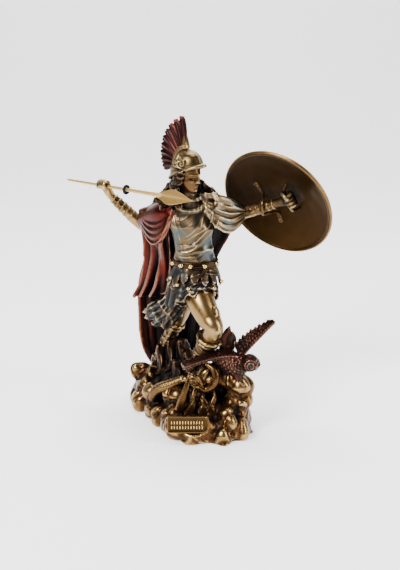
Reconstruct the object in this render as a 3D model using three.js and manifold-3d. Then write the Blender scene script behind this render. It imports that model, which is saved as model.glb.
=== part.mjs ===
// A bronze-finished statuette of a helmeted goddess lunging over rocks, with an owl, a spear and a round shield.
// Millimetres, +Z up. The origin is on the underside of the rocks, and -Y is the side of the name tablet.
import * as THREE from "three";
import { mergeVertices } from "three/addons/utils/BufferGeometryUtils.js";
import Module from "manifold-3d";

const wasm = await Module();
wasm.setup();

// Driving dimensions
const FIGURE_HEIGHT = 216; // the goddess standing straight, from sole to crown
const CAPE_THICKNESS = 2.4;
const CREST_THICKNESS = 3.4;
const BASE_LENGTH = 122; // the rocks, along the lunge
const BASE_WIDTH = 70;
const BASE_HEIGHT = 15; // the ledge between the boulders
const BOULDER_RADIUS = 10.5;
const TABLET_WIDTH = 29;
const TABLET_HEIGHT = 12.5;
const TABLET_PROUD = 3;
const OWL_LENGTH = 31; // beak to rump
const OWL_PERCH_HEIGHT = 47;
const WING_LENGTH = 42;
const SPEAR_LENGTH = 143.5;
const SPEAR_DIAMETER = 3.2;
const SPEAR_BUTT_DIAMETER = 1.8;
const BLADE_LENGTH = 41.5;
const BLADE_WIDTH = 12.6;
const BLADE_THICKNESS = 2.6;
const COLLAR_DIAMETER = 6.8;
const COLLAR_WIDTH = 2.4;
const SHIELD_DIAMETER = 93;
const SHIELD_THICKNESS = 2;
const SHIELD_DISH = 6; // how far the middle lies behind the rim
const SHIELD_LIP = 2.4; // the rolled edge's radius
const STRAP_WIDTH = 3.4;
const STRAP_THICKNESS = 1.5;
const CLEARANCE = 0.3; // between the casting and what is held or worn
const CARVING_TRIANGLES = 7800; // what the figure, the owl and the rocks are cut down to
const SHORTEST_EDGE = 0.03;

// The pose is drawn for a figure 216 mm tall and grows with the figure's height.
const POSED_HEIGHT = 216;
const grow = FIGURE_HEIGHT / POSED_HEIGHT;
const at = (x, y, z) => new THREE.Vector3(x, y, z).multiplyScalar(grow);
const UP = new THREE.Vector3(0, 0, 1);
const ACROSS = new THREE.Vector3(1, 0.4, 0);
const degrees = THREE.MathUtils.degToRad;
const mix = THREE.MathUtils.lerp;

// Joints of the figure. Her right is the viewer's left.
const pelvis = at(-4, 5, 112);
const rightShoulder = at(-21, 4, 171);
const rightElbow = at(-44, 31, 153.5);
const rightWrist = at(-65.5, 32, 174.5);
const rightFist = at(-70, 28, 183.5);
const leftShoulder = at(14, 2, 174);
const leftElbow = at(38, 26, 162.5);
const leftWrist = at(63, 10, 174);
const leftFist = at(70.5, 5, 177.5);
const headCentre = at(-5.5, -1, 200);
const frontHip = at(0, 0, 109);
const frontKnee = at(14.6, -20, 82);
const frontAnkle = at(-2, 5, 38);
const rearHip = at(-9, 8, 106);
const rearKnee = at(-12.5, 19, 79);
const rearAnkle = at(-32, 43, 35);
const headTurn = degrees(44); // the face looks to her left
const headNod = degrees(6);

// Closed surfaces

// A closed solid from a three.js geometry whose surface is closed
function solidOf(geometry) {
  const bare = new THREE.BufferGeometry().setAttribute("position", geometry.getAttribute("position").clone());
  if (geometry.index) bare.setIndex(geometry.index.clone());
  const merged = mergeVertices(bare, 1e-4);
  const mesh = {
    numProp: 3,
    vertProperties: merged.attributes.position.array,
    triVerts: new Uint32Array(merged.index.array),
  };
  return new wasm.Manifold(new wasm.Mesh(mesh));
}

// A skin through closed rings that have as many points each, with a fan over each end
function skin(rings) {
  const count = rings[0].length;
  const points = rings.flat();
  const index = [];
  for (let row = 0; row + 1 < rings.length; row++) {
    for (let k = 0; k < count; k++) {
      const a = row * count + k;
      const b = row * count + ((k + 1) % count);
      index.push(a, b, a + count, b, b + count, a + count);
    }
  }
  for (const [ring, turned] of [[rings[0], true], [rings.at(-1), false]]) {
    const start = turned ? 0 : (rings.length - 1) * count;
    const middle = ring.reduce((sum, p) => sum.add(p), new THREE.Vector3()).divideScalar(count);
    const hub = points.push(middle) - 1;
    for (let k = 0; k < count; k++) {
      const a = start + k;
      const b = start + ((k + 1) % count);
      index.push(...(turned ? [b, a, hub] : [a, b, hub]));
    }
  }
  const geometry = new THREE.BufferGeometry().setFromPoints(points);
  geometry.setIndex(index);
  return outward(geometry);
}

// Turns every face round when the surface encloses a negative volume
function outward(geometry) {
  const p = geometry.getAttribute("position");
  const index = geometry.index.array;
  const [a, b, c] = [new THREE.Vector3(), new THREE.Vector3(), new THREE.Vector3()];
  let volume = 0;
  for (let i = 0; i < index.length; i += 3) {
    a.fromBufferAttribute(p, index[i]);
    b.fromBufferAttribute(p, index[i + 1]);
    c.fromBufferAttribute(p, index[i + 2]);
    volume += a.dot(b.cross(c));
  }
  if (volume < 0) {
    for (let i = 0; i < index.length; i += 3) [index[i], index[i + 1]] = [index[i + 1], index[i]];
  }
  return geometry;
}

// A round limb. Each station is [point, radius] or [point, radius across, radius along the hint].
function limb(stations, { sides = 10, spans = 2, hint = UP, round = true, ripple = () => 1 } = {}) {
  const curve = new THREE.CatmullRomCurve3(stations.map(([point]) => point), false, "centripetal");
  const widths = new THREE.SplineCurve(stations.map(([, wide, deep = wide]) => new THREE.Vector2(wide, deep)));
  const steps = (stations.length - 1) * spans;
  const rings = [];
  const ring = (centre, tangent, wide, deep, t) => {
    const across = new THREE.Vector3().crossVectors(hint, tangent).normalize();
    const along = new THREE.Vector3().crossVectors(tangent, across).normalize();
    return Array.from({ length: sides }, (_, k) => {
      const angle = (2 * Math.PI * k) / sides;
      const swell = ripple(angle, t);
      return centre.clone()
        .addScaledVector(across, wide * swell * Math.cos(angle))
        .addScaledVector(along, deep * swell * Math.sin(angle));
    });
  };
  for (let i = 0; i <= steps; i++) {
    const t = i / steps;
    const size = widths.getPoint(t);
    const centre = curve.getPoint(t);
    const tangent = curve.getTangent(t);
    const end = i === 0 ? -1 : i === steps ? 1 : 0;
    const shell = ring(centre, tangent, size.x, size.y, t);
    const beyond = centre.clone().addScaledVector(tangent, 0.6 * end * size.x);
    const cap = ring(beyond, tangent, 0.7 * size.x, 0.7 * size.y, t);
    if (end < 0 && round) rings.push(cap);
    rings.push(shell);
    if (end > 0 && round) rings.push(cap);
  }
  return solidOf(skin(rings));
}

// An upright body. Each row is [centre, half width, half depth], and shape(angle, t) swells the section.
function column(rows, { sides = 20, turn = 0, shape = () => 1, drop = () => 0 } = {}) {
  return solidOf(skin(rows.map(([centre, wide, deep], i) => {
    const t = i / (rows.length - 1);
    return Array.from({ length: sides }, (_, k) => {
      const angle = (2 * Math.PI * k) / sides;
      const swell = shape(angle, t);
      return new THREE.Vector3(wide * swell * Math.cos(angle), deep * swell * Math.sin(angle), -drop(angle, t))
        .applyAxisAngle(UP, turn)
        .add(centre);
    });
  })));
}

// A sheet of even thickness over place(across, along), each from 0 to 1
function sheet(place, thickness, across, along) {
  const step = 1e-3;
  const side = (u, v, way) => {
    const here = place(u, v);
    const du = place(Math.min(1, u + step), v).sub(place(Math.max(0, u - step), v));
    const dv = place(u, Math.min(1, v + step)).sub(place(u, Math.max(0, v - step)));
    return here.addScaledVector(du.cross(dv).normalize(), (way * thickness) / 2);
  };
  const rings = [];
  for (let j = 0; j <= along; j++) {
    const ring = [];
    for (let i = 0; i <= across; i++) ring.push(side(i / across, j / along, 1));
    for (let i = across; i >= 0; i--) ring.push(side(i / across, j / along, -1));
    rings.push(ring);
  }
  return solidOf(skin(rings));
}

// A boulder: a ball pressed to three half sizes, with flats and bumps that follow its seed
function boulder(centre, half, seed, detail = 1) {
  const ball = new THREE.IcosahedronGeometry(1, detail);
  const p = ball.getAttribute("position");
  const v = new THREE.Vector3();
  for (let i = 0; i < p.count; i++) {
    v.fromBufferAttribute(p, i);
    const bump = 0.07 * Math.sin(3.1 * v.x + 2.3 * seed) + 0.07 * Math.sin(3.7 * v.y + 1.7 * seed)
      + 0.05 * Math.sin(4.3 * v.z + seed);
    v.multiplyScalar(1 + bump).multiply(half).add(centre);
    p.setXYZ(i, v.x, v.y, v.z);
  }
  return solidOf(ball);
}

// A flat piece cut to an outline of [x, y] points, bevelled round and placed by a matrix
function blade(outline, thickness, matrix) {
  const shape = new THREE.Shape(outline.map(([x, y]) => new THREE.Vector2(x, y)));
  const flat = new THREE.ExtrudeGeometry(shape, { depth: thickness, bevelEnabled: false, curveSegments: 6 });
  flat.translate(0, 0, -thickness / 2).applyMatrix4(matrix);
  return solidOf(flat);
}

// A frame whose x runs along one direction and whose z leans as near as it can to another
function frameAt(origin, along, facing) {
  const x = along.clone().normalize();
  const z = facing.clone().addScaledVector(x, -facing.dot(x)).normalize();
  const y = new THREE.Vector3().crossVectors(z, x);
  return new THREE.Matrix4().makeBasis(x, y, z).setPosition(origin);
}

const join = (solids) => solids.reduce((all, one) => all.add(one));

// A repeatable number from 0 to 1 for each whole number
const scatter = (n) => {
  const wave = Math.sin(12.9898 * (n + 1)) * 43758.5453;
  return wave - Math.floor(wave);
};

// The rocky base

const BASE_HEADING = degrees(-55); // the lunge, measured from +X
const baseCentre = new THREE.Vector2(-6, 10);
const lunge = new THREE.Vector2(Math.cos(BASE_HEADING), Math.sin(BASE_HEADING));
const abreast = new THREE.Vector2(-lunge.y, lunge.x);

// A point over the base: share of the half length, share of the half width, height
function onBase(ahead, beside, z) {
  const narrow = 1 - 0.13 * (1 - ahead);
  const place = baseCentre.clone()
    .addScaledVector(lunge, (ahead * BASE_LENGTH) / 2)
    .addScaledVector(abreast, (beside * narrow * BASE_WIDTH) / 2);
  return new THREE.Vector3(place.x, place.y, z);
}

// A point on the base's squarish oval outline, drawn in by a share
function onOutline(angle, inset, z) {
  const square = (value) => Math.sign(value) * Math.abs(value) ** 0.72;
  return onBase(inset * square(Math.cos(angle)), inset * square(Math.sin(angle)), z);
}

const rearSole = rearAnkle.clone().setZ(rearAnkle.z - 9 * grow);
const frontSole = frontAnkle.clone().add(at(2, -5, -9));
const perchTop = onBase(0.8, 0.42, OWL_PERCH_HEIGHT);
const tabletSpot = onBase(0.745, -0.885, 0);

// Every boulder of the base as [centre, half sizes]: a ring outside, a ring inside, and those under the feet
function boulders() {
  const list = [];
  const outer = 15;
  for (let i = 0; i < outer; i++) {
    const radius = BOULDER_RADIUS * (0.86 + 0.34 * scatter(i));
    const centre = onOutline((2 * Math.PI * i) / outer, 1 - (1.24 * radius) / BASE_WIDTH, 0.62 * radius);
    list.push([centre, new THREE.Vector3(radius, radius, 0.95 * radius)]);
  }
  const inner = 9;
  for (let i = 0; i < inner; i++) {
    const radius = BOULDER_RADIUS * (0.8 + 0.35 * scatter(i + 40));
    const centre = onOutline((2 * Math.PI * (i + 0.4)) / inner, 0.6, BASE_HEIGHT + 0.2 * radius);
    list.push([centre, new THREE.Vector3(radius, radius, 0.8 * radius)]);
  }
  const heaped = [[-0.78, -0.5, 1.65, 0.8], [-0.52, -0.7, 1.1, 0.85], [-0.2, -0.78, 1.25, 0.9],
    [0.14, -0.52, 1.6, 1.05], [0.08, -0.9, 0.5, 0.9], [0.4, -0.95, 0.45, 0.85], [0.57, -1, 0.6, 1],
    [0.74, -0.74, 0.55, 1.1], [0.34, 0.12, 1.5, 1.3], [0.6, -0.05, 1.1, 1.15],
    [0.62, 0.3, 1, 1.2], [0.45, 0.32, 2, 1], [-0.2, 0.1, 0.95, 1.2]];
  for (const [ahead, beside, high, wide] of heaped) {
    const half = wide * BOULDER_RADIUS;
    list.push([onBase(ahead, beside, high * BASE_HEIGHT), new THREE.Vector3(half, half, 0.9 * half)]);
  }
  for (const [sole, radius] of [[rearSole, 1.3 * BOULDER_RADIUS], [frontSole, 1.25 * BOULDER_RADIUS]]) {
    const centre = sole.clone().setZ(sole.z - 0.85 * radius);
    list.push([centre, new THREE.Vector3(radius, radius, 0.85 * radius)]);
  }
  return list;
}

// The rocks as one skin: along each ray from the middle, the far side of the last boulder it meets
function rocks() {
  const list = boulders();
  const middle = new THREE.Vector3(baseCentre.x, baseCentre.y, 0.55 * BASE_HEIGHT);
  const around = 60;
  const levels = 17;
  const reach = (ray) => list.reduce((far, [centre, half]) => {
    const from = middle.clone().sub(centre).divide(half);
    const way = ray.clone().divide(half);
    const along = from.dot(way) / way.lengthSq();
    const rest = along * along - (from.lengthSq() - 1) / way.lengthSq();
    return rest > 0 ? Math.max(far, Math.sqrt(rest) - along) : far;
  }, ray.z < 0 ? (0.34 * BASE_WIDTH) / Math.hypot(ray.x, ray.y) : 0.8 * BASE_HEIGHT);
  const rings = [];
  for (let j = 0; j < levels; j++) {
    const rise = mix(degrees(-32), degrees(80), (j / (levels - 1)) ** 1.25);
    rings.push(Array.from({ length: around }, (_, k) => {
      const angle = (2 * Math.PI * k) / around;
      const ray = new THREE.Vector3(Math.cos(angle), Math.sin(angle), 0)
        .multiplyScalar(Math.cos(rise))
        .setZ(Math.sin(rise));
      return middle.clone().addScaledVector(ray, reach(ray));
    }));
  }
  return [solidOf(skin(rings))];
}

// Boulders piled from the ground to a footing, each [ahead, beside] of the top by a share of its radius
function footing(top, radius, seed) {
  const core = 0.7 * radius;
  const parts = [limb([
    [top.clone().setZ(-core), 1.3 * core],
    [top.clone().setZ(top.z - radius), core],
  ], { sides: 6, spans: 1, hint: ACROSS })];
  for (let z = top.z - radius, i = 0; z > -0.4 * radius; z -= 0.95 * radius, i++) {
    const wide = radius * (0.94 + 0.14 * scatter(seed + i));
    const lean = [scatter(seed + i) - 0.5, scatter(seed + i + 9) - 0.5].map((share) => 0.3 * share * radius);
    const centre = new THREE.Vector3(top.x + lean[0], top.y + lean[1], z);
    parts.push(boulder(centre, new THREE.Vector3(wide, wide, radius), seed + i));
  }
  return parts;
}

// The name tablet: a slab with a scrolled right edge
function tablet() {
  const slab = new THREE.Shape();
  const w = TABLET_WIDTH / 2;
  slab.moveTo(-w, 0);
  slab.lineTo(w, 0);
  slab.quadraticCurveTo(w + 0.12 * TABLET_WIDTH, TABLET_HEIGHT / 2, w, TABLET_HEIGHT);
  slab.lineTo(-w, TABLET_HEIGHT);
  const depth = BOULDER_RADIUS + TABLET_PROUD;
  const block = new THREE.ExtrudeGeometry(slab, { depth, bevelEnabled: false, curveSegments: 6 });
  block.rotateX(degrees(90)).rotateX(degrees(-8));
  block.translate(tabletSpot.x, tabletSpot.y + depth - TABLET_PROUD - 2, 0.52 * BASE_HEIGHT);
  return solidOf(block);
}

// A fallen serpent across the front of the rocks, and leaves that grow between the boulders
function serpent() {
  const girth = 0.27 * BOULDER_RADIUS;
  return limb([
    [onBase(-0.12, -0.94, 1.35 * BASE_HEIGHT), 0.7 * girth],
    [onBase(-0.04, -0.86, 1.7 * BASE_HEIGHT), 1.05 * girth],
    [onBase(0.12, -0.66, 2.1 * BASE_HEIGHT), 1.1 * girth],
    [onBase(0.24, -0.44, 2.45 * BASE_HEIGHT), 0.9 * girth],
  ], { sides: 8 });
}

// The figure

function legs() {
  const front = limb([
    [pelvis.clone().add(at(3, 0, 1)), 11 * grow],
    [frontHip.clone().lerp(frontKnee, 0.34), 10.6 * grow],
    [frontHip.clone().lerp(frontKnee, 0.74), 9.2 * grow],
    [frontKnee, 7.4 * grow],
    [frontKnee.clone().lerp(frontAnkle, 0.3), 7.2 * grow],
    [frontKnee.clone().lerp(frontAnkle, 0.8), 4.8 * grow],
    [frontAnkle, 4.4 * grow],
  ], { sides: 14, hint: ACROSS });
  const rear = limb([
    [pelvis.clone().add(at(-3, 1, 0)), 10.4 * grow],
    [rearHip.clone().lerp(rearKnee, 0.5), 9.4 * grow],
    [rearKnee, 6.4 * grow],
    [rearKnee.clone().lerp(rearAnkle, 0.35), 5.4 * grow],
    [rearAnkle, 3.8 * grow],
  ], { sides: 12, hint: ACROSS });
  return [front, rear];
}

// Each foot runs down from the ankle over the instep to the toes, with a heel behind
function foot(ankle, heading, length) {
  const ahead = new THREE.Vector3(Math.cos(heading), Math.sin(heading), 0);
  const step = (far, down) => ankle.clone().addScaledVector(ahead, far * length).add(at(0, 0, -down));
  return [limb([
    [step(-0.04, -2), 4.3 * grow],
    [step(0.06, 4.4), 4.8 * grow],
    [step(0.3, 5.6), 4.4 * grow, 4 * grow],
    [step(0.62, 7), 4.6 * grow, 2.7 * grow],
    [step(0.78, 7.4), 3.6 * grow, 2 * grow],
  ], { sides: 9, hint: ACROSS.clone().add(UP) }), boulder(step(-0.06, 6), at(4, 4, 3.6), 0, 1)];
}

// The boot's cuff under a knee
function cuff(knee, ankle, share, radius) {
  const down = ankle.clone().sub(knee);
  return limb([
    [knee.clone().addScaledVector(down, share), radius],
    [knee.clone().addScaledVector(down, share + 0.1), 0.92 * radius],
  ], { sides: 12, spans: 1, round: false, hint: ACROSS });
}

const waist = at(0.5, 2, 129);
const TUNIC_FOLDS = 13;
const chestTurn = degrees(-104); // the way the chest faces

// The tunic over the chest, drawn in folds that fall from her left shoulder
function bodice() {
  const apart = (angle) => Math.atan2(Math.sin(angle - chestTurn), Math.cos(angle - chestTurn));
  const shape = (angle, t) => {
    const side = apart(angle);
    const bosom = [-0.48, 0.48].reduce((sum, a) => sum + Math.exp(-(((side - a) / 0.4) ** 2)), 0);
    const drape = Math.max(0, 1 - Math.abs(t - 0.3) / 0.4) * Math.max(0, Math.cos(side));
    return 1 + 0.22 * bosom * Math.exp(-(((t - 0.58) / 0.15) ** 2)) + 0.035 * drape * Math.sin(9 * side - 26 * t);
  };
  return column([
    [waist, 15.8 * grow, 11.6 * grow],
    [at(0, 2, 134), 15.4 * grow, 11.2 * grow],
    [at(-0.6, 2.2, 139), 15 * grow, 10.8 * grow],
    [at(-1.2, 2.4, 144), 15 * grow, 10.8 * grow],
    [at(-1.8, 2.6, 149), 15.4 * grow, 11 * grow],
    [at(-2.4, 2.6, 154), 16 * grow, 11.4 * grow],
    [at(-2.8, 2.6, 159), 16.8 * grow, 11.6 * grow],
    [at(-3.2, 2.6, 164), 17.4 * grow, 11 * grow],
    [at(-3.6, 2.6, 169), 17.8 * grow, 10 * grow],
    [at(-4, 2.6, 174), 16 * grow, 8.6 * grow],
    [at(-4, 2.6, 180), 8.6 * grow, 6.8 * grow],
    [at(-4.2, 2, 187), 5.6 * grow, 5.6 * grow],
  ], { sides: 30, shape });
}

// The skirt is gathered up over the front thigh and hangs to the rear thigh behind.
const thighTurn = degrees(-62);

function skirt() {
  const flute = (angle, t) => 1 + 0.1 * t * Math.cos(TUNIC_FOLDS * angle + 2 * t);
  const lift = (angle) => Math.max(0, Math.cos(angle - thighTurn)) ** 1.5;
  const hem = (angle, t) => t * t * grow * (8 - 15 * lift(angle) + 1.6 * Math.cos(TUNIC_FOLDS * angle));
  return column([
    [waist, 15.8 * grow, 11.8 * grow],
    [at(-0.6, 2, 124), 16.6 * grow, 13 * grow],
    [at(-1.6, 2, 117), 17.8 * grow, 14.8 * grow],
    [at(-2.4, 2, 109), 19 * grow, 16.6 * grow],
    [at(-3, 2, 101), 20 * grow, 18 * grow],
  ], { sides: TUNIC_FOLDS * 3, shape: flute, drop: hem });
}

// The short overfold that stands out below the belt
function peplum() {
  const flute = (angle, t) => 1 + 0.12 * t * Math.cos(11 * angle + 1);
  const hem = (angle, t) => t * grow * (1.5 + 2 * Math.cos(11 * angle + 1) + 2 * Math.cos(2 * angle));
  return column([
    [at(0.5, 2, 127.6), 15.8 * grow, 12 * grow],
    [at(0, 1.8, 123), 17.6 * grow, 14.4 * grow],
    [at(-0.4, 1.6, 117), 19.4 * grow, 16.6 * grow],
  ], { sides: 33, shape: flute, drop: hem });
}

// The belt, with a round stud at each fold of the tunic
function belt() {
  const rows = [127.6, 131.6].map((z) => [at(0.5, 2, z), 16.8 * grow, 12.8 * grow]);
  const studs = [-165, -128, -94, -60, -24].map((angle) => {
    const way = new THREE.Vector3(16.6 * Math.cos(degrees(angle)), 12.8 * Math.sin(degrees(angle)), 127.8);
    return boulder(way.add(new THREE.Vector3(0.5, 2, 2)).multiplyScalar(grow), at(1.9, 1.9, 1.9), 0, 0);
  });
  return [column(rows, { sides: 24 }), ...studs];
}

// The tunic's tail, blown back along the rear thigh
function tunicTail() {
  const flutter = (angle, t) => 1 + 0.14 * t * Math.cos(6 * angle + 3 * t);
  return limb([
    [at(-8, 8, 105), 12.6 * grow, 12 * grow],
    [at(-18, 18, 93), 11.4 * grow, 9.4 * grow],
    [at(-29, 28, 83), 9.6 * grow, 6 * grow],
    [at(-38, 37, 77), 8 * grow, 3 * grow],
  ], { sides: 18, round: false, ripple: flutter });
}

// Swags of cloth hung between two points, one below the other, with their middles pushed forward
function swags(from, to, { count = 4, sag = 14, forward = 6, girth = 3.4 } = {}) {
  return Array.from({ length: count }, (_, i) => {
    const deep = (i + 0.6) / count;
    const path = [0, 0.22, 0.5, 0.78, 1].map((t) => {
      const hang = 4 * t * (1 - t);
      return [from.clone().lerp(to, mix(0.06 * i, 1 - 0.05 * i, t))
        .add(at(0, -forward * (0.4 + 0.6 * deep) * hang, -sag * deep * hang - 1.4 * i)),
      girth * grow * (0.55 + 0.45 * hang), girth * grow * (0.8 + 0.5 * hang)];
    });
    return limb(path, { sides: 8, spans: 2 });
  });
}

function sleeves() {
  const swag = (angle, t) => 1 + 0.06 * Math.cos(4 * angle + 9 * t);
  const left = limb([
    [at(2, 3, 170), 8 * grow, 10 * grow],
    [leftShoulder.clone().add(at(1, 0, -4)), 9.2 * grow, 10.4 * grow],
    [leftShoulder.clone().lerp(leftElbow, 0.6).add(at(0, -1, -2)), 7.6 * grow, 9.6 * grow],
    [leftShoulder.clone().lerp(leftElbow, 0.92), 6 * grow, 7 * grow],
  ], { sides: 12, ripple: swag });
  const right = limb([
    [at(-9, 4, 170), 8 * grow, 9 * grow],
    [rightShoulder.clone().add(at(0, 0, -3)), 8.6 * grow, 9.8 * grow],
    [rightShoulder.clone().lerp(rightElbow, 0.55).add(at(0, 0, -1)), 7.6 * grow, 8.8 * grow],
    [rightShoulder.clone().lerp(rightElbow, 0.85), 6 * grow, 7.2 * grow],
  ], { sides: 12, ripple: swag });
  return [left, right,
    ...swags(at(9, -6, 177), at(37, 14, 164), { count: 4, sag: 13, forward: 8, girth: 3 }),
    ...swags(at(-42, 23, 162), at(-18, -3, 175), { count: 5, sag: 19, forward: 9, girth: 3.4 })];
}

function arms() {
  const forearm = (elbow, wrist) => {
    const along = wrist.clone().sub(elbow);
    return limb([
      [elbow.clone().addScaledVector(along, -0.1), 4.4 * grow],
      [elbow.clone().addScaledVector(along, 0.25), 4.8 * grow],
      [elbow.clone().addScaledVector(along, 0.85), 3.7 * grow],
      [wrist, 3 * grow],
    ], { sides: 9, spans: 1 });
  };
  return [forearm(rightElbow, rightWrist), forearm(leftElbow, leftWrist)];
}

// A fist: palm and four curled fingers round a grip that runs along the hint
function fist(wrist, centre, grip) {
  const reach = centre.clone().sub(wrist);
  const parts = [limb([
    [wrist, 3 * grow],
    [wrist.clone().addScaledVector(reach, 0.5), 3.8 * grow],
    [centre, 4.6 * grow, 5.2 * grow],
    [centre.clone().addScaledVector(reach, 0.22), 4.2 * grow, 4.8 * grow],
  ], { sides: 10, hint: grip })];
  const knuckle = reach.clone().normalize();
  const outer = new THREE.Vector3().crossVectors(grip, knuckle).normalize();
  for (let i = 0; i < 4; i++) {
    const spot = centre.clone().addScaledVector(grip, (i - 1.5) * 2.5 * grow).addScaledVector(knuckle, 3.2 * grow);
    parts.push(limb([
      [spot.clone().addScaledVector(outer, -3.4 * grow), 1.5 * grow],
      [spot.clone().addScaledVector(knuckle, 1.4 * grow), 1.6 * grow],
      [spot.clone().addScaledVector(outer, 3.6 * grow), 1.5 * grow],
    ], { sides: 5, spans: 1, hint: grip }));
  }
  return parts;
}

// The head is drawn looking along -Y about its own centre, then turned.
const headPlace = new THREE.Matrix4()
  .makeRotationFromEuler(new THREE.Euler(headNod, 0, headTurn, "ZYX"))
  .setPosition(headCentre);
const onHead = (x, y, z) => new THREE.Vector3(x, y, z).multiplyScalar(grow).applyMatrix4(headPlace);
const headWay = (x, y, z) => new THREE.Vector3(x, y, z).transformDirection(headPlace);

function head() {
  const rows = [
    [-14.2, -5.2, 2.2, 2.6], [-12, -3.6, 4.6, 6.4], [-8, -1.4, 6.9, 9.6], [-3, 0, 8.3, 11.2],
    [3, 0.8, 8.9, 11.8], [9, 1.4, 7.8, 10.4], [13, 2, 4.6, 6.2],
  ];
  const skull = skin(rows.map(([z, y, wide, deep]) => Array.from({ length: 16 }, (_, k) => {
    const angle = (2 * Math.PI * k) / 16;
    return onHead(wide * Math.cos(angle), y + deep * Math.sin(angle), z);
  })));
  const nose = skin([[-4.6, -11.4, 1.7, 1.9], [-1.2, -10.6, 1.2, 1.7], [3.4, -10.2, 1, 1.2]]
    .map(([z, y, wide, deep]) => [[-wide, y], [0, y - deep], [wide, y], [0, y + 3]]
      .map(([a, b]) => onHead(a, b, z))));
  const neck = limb([[at(-4, 3, 176), 6.4 * grow], [onHead(0, 2.4, -8), 5.6 * grow]], { sides: 12 });
  return [solidOf(skull), solidOf(nose), neck];
}

// A helmet pushed back: a dome with a brim that dips behind to guard the neck
function helmet() {
  const brim = (angle) => {
    const back = Math.sin(angle);
    return back > 0 ? 0.8 - 9.5 * back : 0.8 + 7.5 * (-back) ** 1.3;
  };
  const levels = [[0, 1.06], [0.1, 1.0], [0.4, 0.97], [0.7, 0.78], [0.92, 0.42]];
  return solidOf(skin(levels.map(([rise, swell]) => Array.from({ length: 20 }, (_, k) => {
    const angle = (2 * Math.PI * k) / 20;
    const low = brim(angle);
    const peak = rise === 0 ? 1 + 0.1 * Math.max(0, -Math.sin(angle)) : 1;
    return onHead(10.6 * swell * peak * Math.cos(angle), 1.4 + 13.2 * swell * peak * Math.sin(angle),
      mix(low, 17.6, rise));
  }))));
}

// The crest: a fan of plumes on a holder that follows the dome
const CREST_PLUMES = 11;

function crest() {
  const inner = (t) => {
    const angle = mix(degrees(-16), degrees(86), t);
    return [1.4 + 12 * Math.cos(angle), 4 + 11.8 * Math.sin(angle)];
  };
  const outline = [];
  for (let i = 0; i <= 10; i++) outline.push(inner(i / 10));
  for (let i = 2 * CREST_PLUMES; i >= 0; i--) {
    const t = i / (2 * CREST_PLUMES);
    const [x, z] = inner(t);
    const lean = mix(degrees(-24), degrees(81), t);
    const reach = mix(11, 26.5, t ** 0.9) * (i % 2 ? 0.93 : 1);
    outline.push([x + reach * Math.cos(lean), z + reach * Math.sin(lean)]);
  }
  const flat = outline.map(([back, up]) => [grow * back, grow * up]);
  const place = frameAt(onHead(0, 0, 0), headWay(0, 1, 0), headWay(1, 0, 0));
  return blade(flat, CREST_THICKNESS, place);
}

// Locks of hair from under the helmet over the neck and shoulders
function hair() {
  const locks = [
    [[-8, 4, -5], [-11, 3, -15], [-12, -1, -22], [-12, -6, -30]],
    [[-7, 8, -6], [-14, 8, -16], [-19, 2, -22], [-22, -2, -27]],
    [[0, 12, -6], [-4, 13, -18], [-8, 12, -28], [-12, 11, -36]],
    [[4, 11, -6], [7, 13, -16], [6, 14, -28], [4, 13, -38]],
    [[8, 6, -4], [13, 7, -13], [15, 5, -20], [20, 0, -24]],
    [[8, 2, -5], [12, 0, -14], [13, -4, -21], [11, -9, -30]],
  ];
  const girths = [3, 4.2, 3.8, 1.8];
  const hang = (p) => new THREE.Vector3(...p).multiplyScalar(grow).applyAxisAngle(UP, 0.4 * headTurn);
  return locks.map((points) => limb(
    points.map((p, i) => [headCentre.clone().add(hang(p)), girths[i] * grow]),
    { sides: 6, ripple: (angle, t) => 1 + 0.14 * Math.sin(angle + 14 * t) },
  ));
}

// The cape. Each row of points runs from its left edge round the back to its right edge.
const CAPE_FOLDS = 8;
const capeRows = [
  [at(-40, 24, 165), at(-21, 6, 178), at(-4, 7, 186), at(14, 5, 181), at(33, 18, 171)],
  [at(-42, 31, 161), at(-25, 17, 174), at(-4, 14, 180), at(17, 14, 175), at(36, 27, 163)],
  [at(-41, 38, 146), at(-26, 26, 152), at(-5, 20, 160), at(14, 20, 158), at(27, 25, 147)],
  [at(-40, 41, 126), at(-26, 30, 130), at(-7, 22, 136), at(7, 19, 136), at(16, 20, 125)],
  [at(-46, 44, 100), at(-33, 42, 100), at(-16, 36, 104), at(-1, 30, 104), at(9, 22, 100)],
  [at(-47, 51, 66), at(-38, 56, 66), at(-22, 56, 66), at(-6, 48, 66), at(5, 38, 66)],
  [at(-44, 54, 40), at(-36, 60, 36), at(-24, 60, 32), at(-10, 54, 32), at(0, 44, 36)],
  [at(-33, 51, 22), at(-30, 58, 20), at(-22, 58, 18), at(-12, 54, 18), at(-6, 46, 20)],
];

// The panel that hangs in front from the raised arm, with its corner swung out
const panelRows = [
  [at(-42, 26, 160), at(-33, 12, 160), at(-20, 6, 160)],
  [at(-40, 34, 146), at(-31, 16, 143), at(-19, 11, 143)],
  [at(-39.5, 38, 128), at(-30, 19, 124), at(-18, 14, 124)],
  [at(-43, 41, 104), at(-34, 24, 104), at(-20, 17, 104)],
  [at(-50, 42, 89), at(-38, 32, 92), at(-23, 20, 98)],
];

function clothPlace(rows, folds, deep) {
  const smooth = (points) => new THREE.CatmullRomCurve3(points, false, "centripetal");
  const downs = rows[0].map((_, k) => smooth(rows.map((row) => row[k])));
  return (u, v) => {
    const across = smooth(downs.map((down) => down.getPoint(v)));
    const way = across.getTangent(u);
    const out = new THREE.Vector3(way.y, -way.x, 0).normalize();
    const fold = Math.cos(2 * Math.PI * folds * (u + 0.06 * v));
    return across.getPoint(u).addScaledVector(out, deep(u, v) * grow * fold);
  };
}

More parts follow.
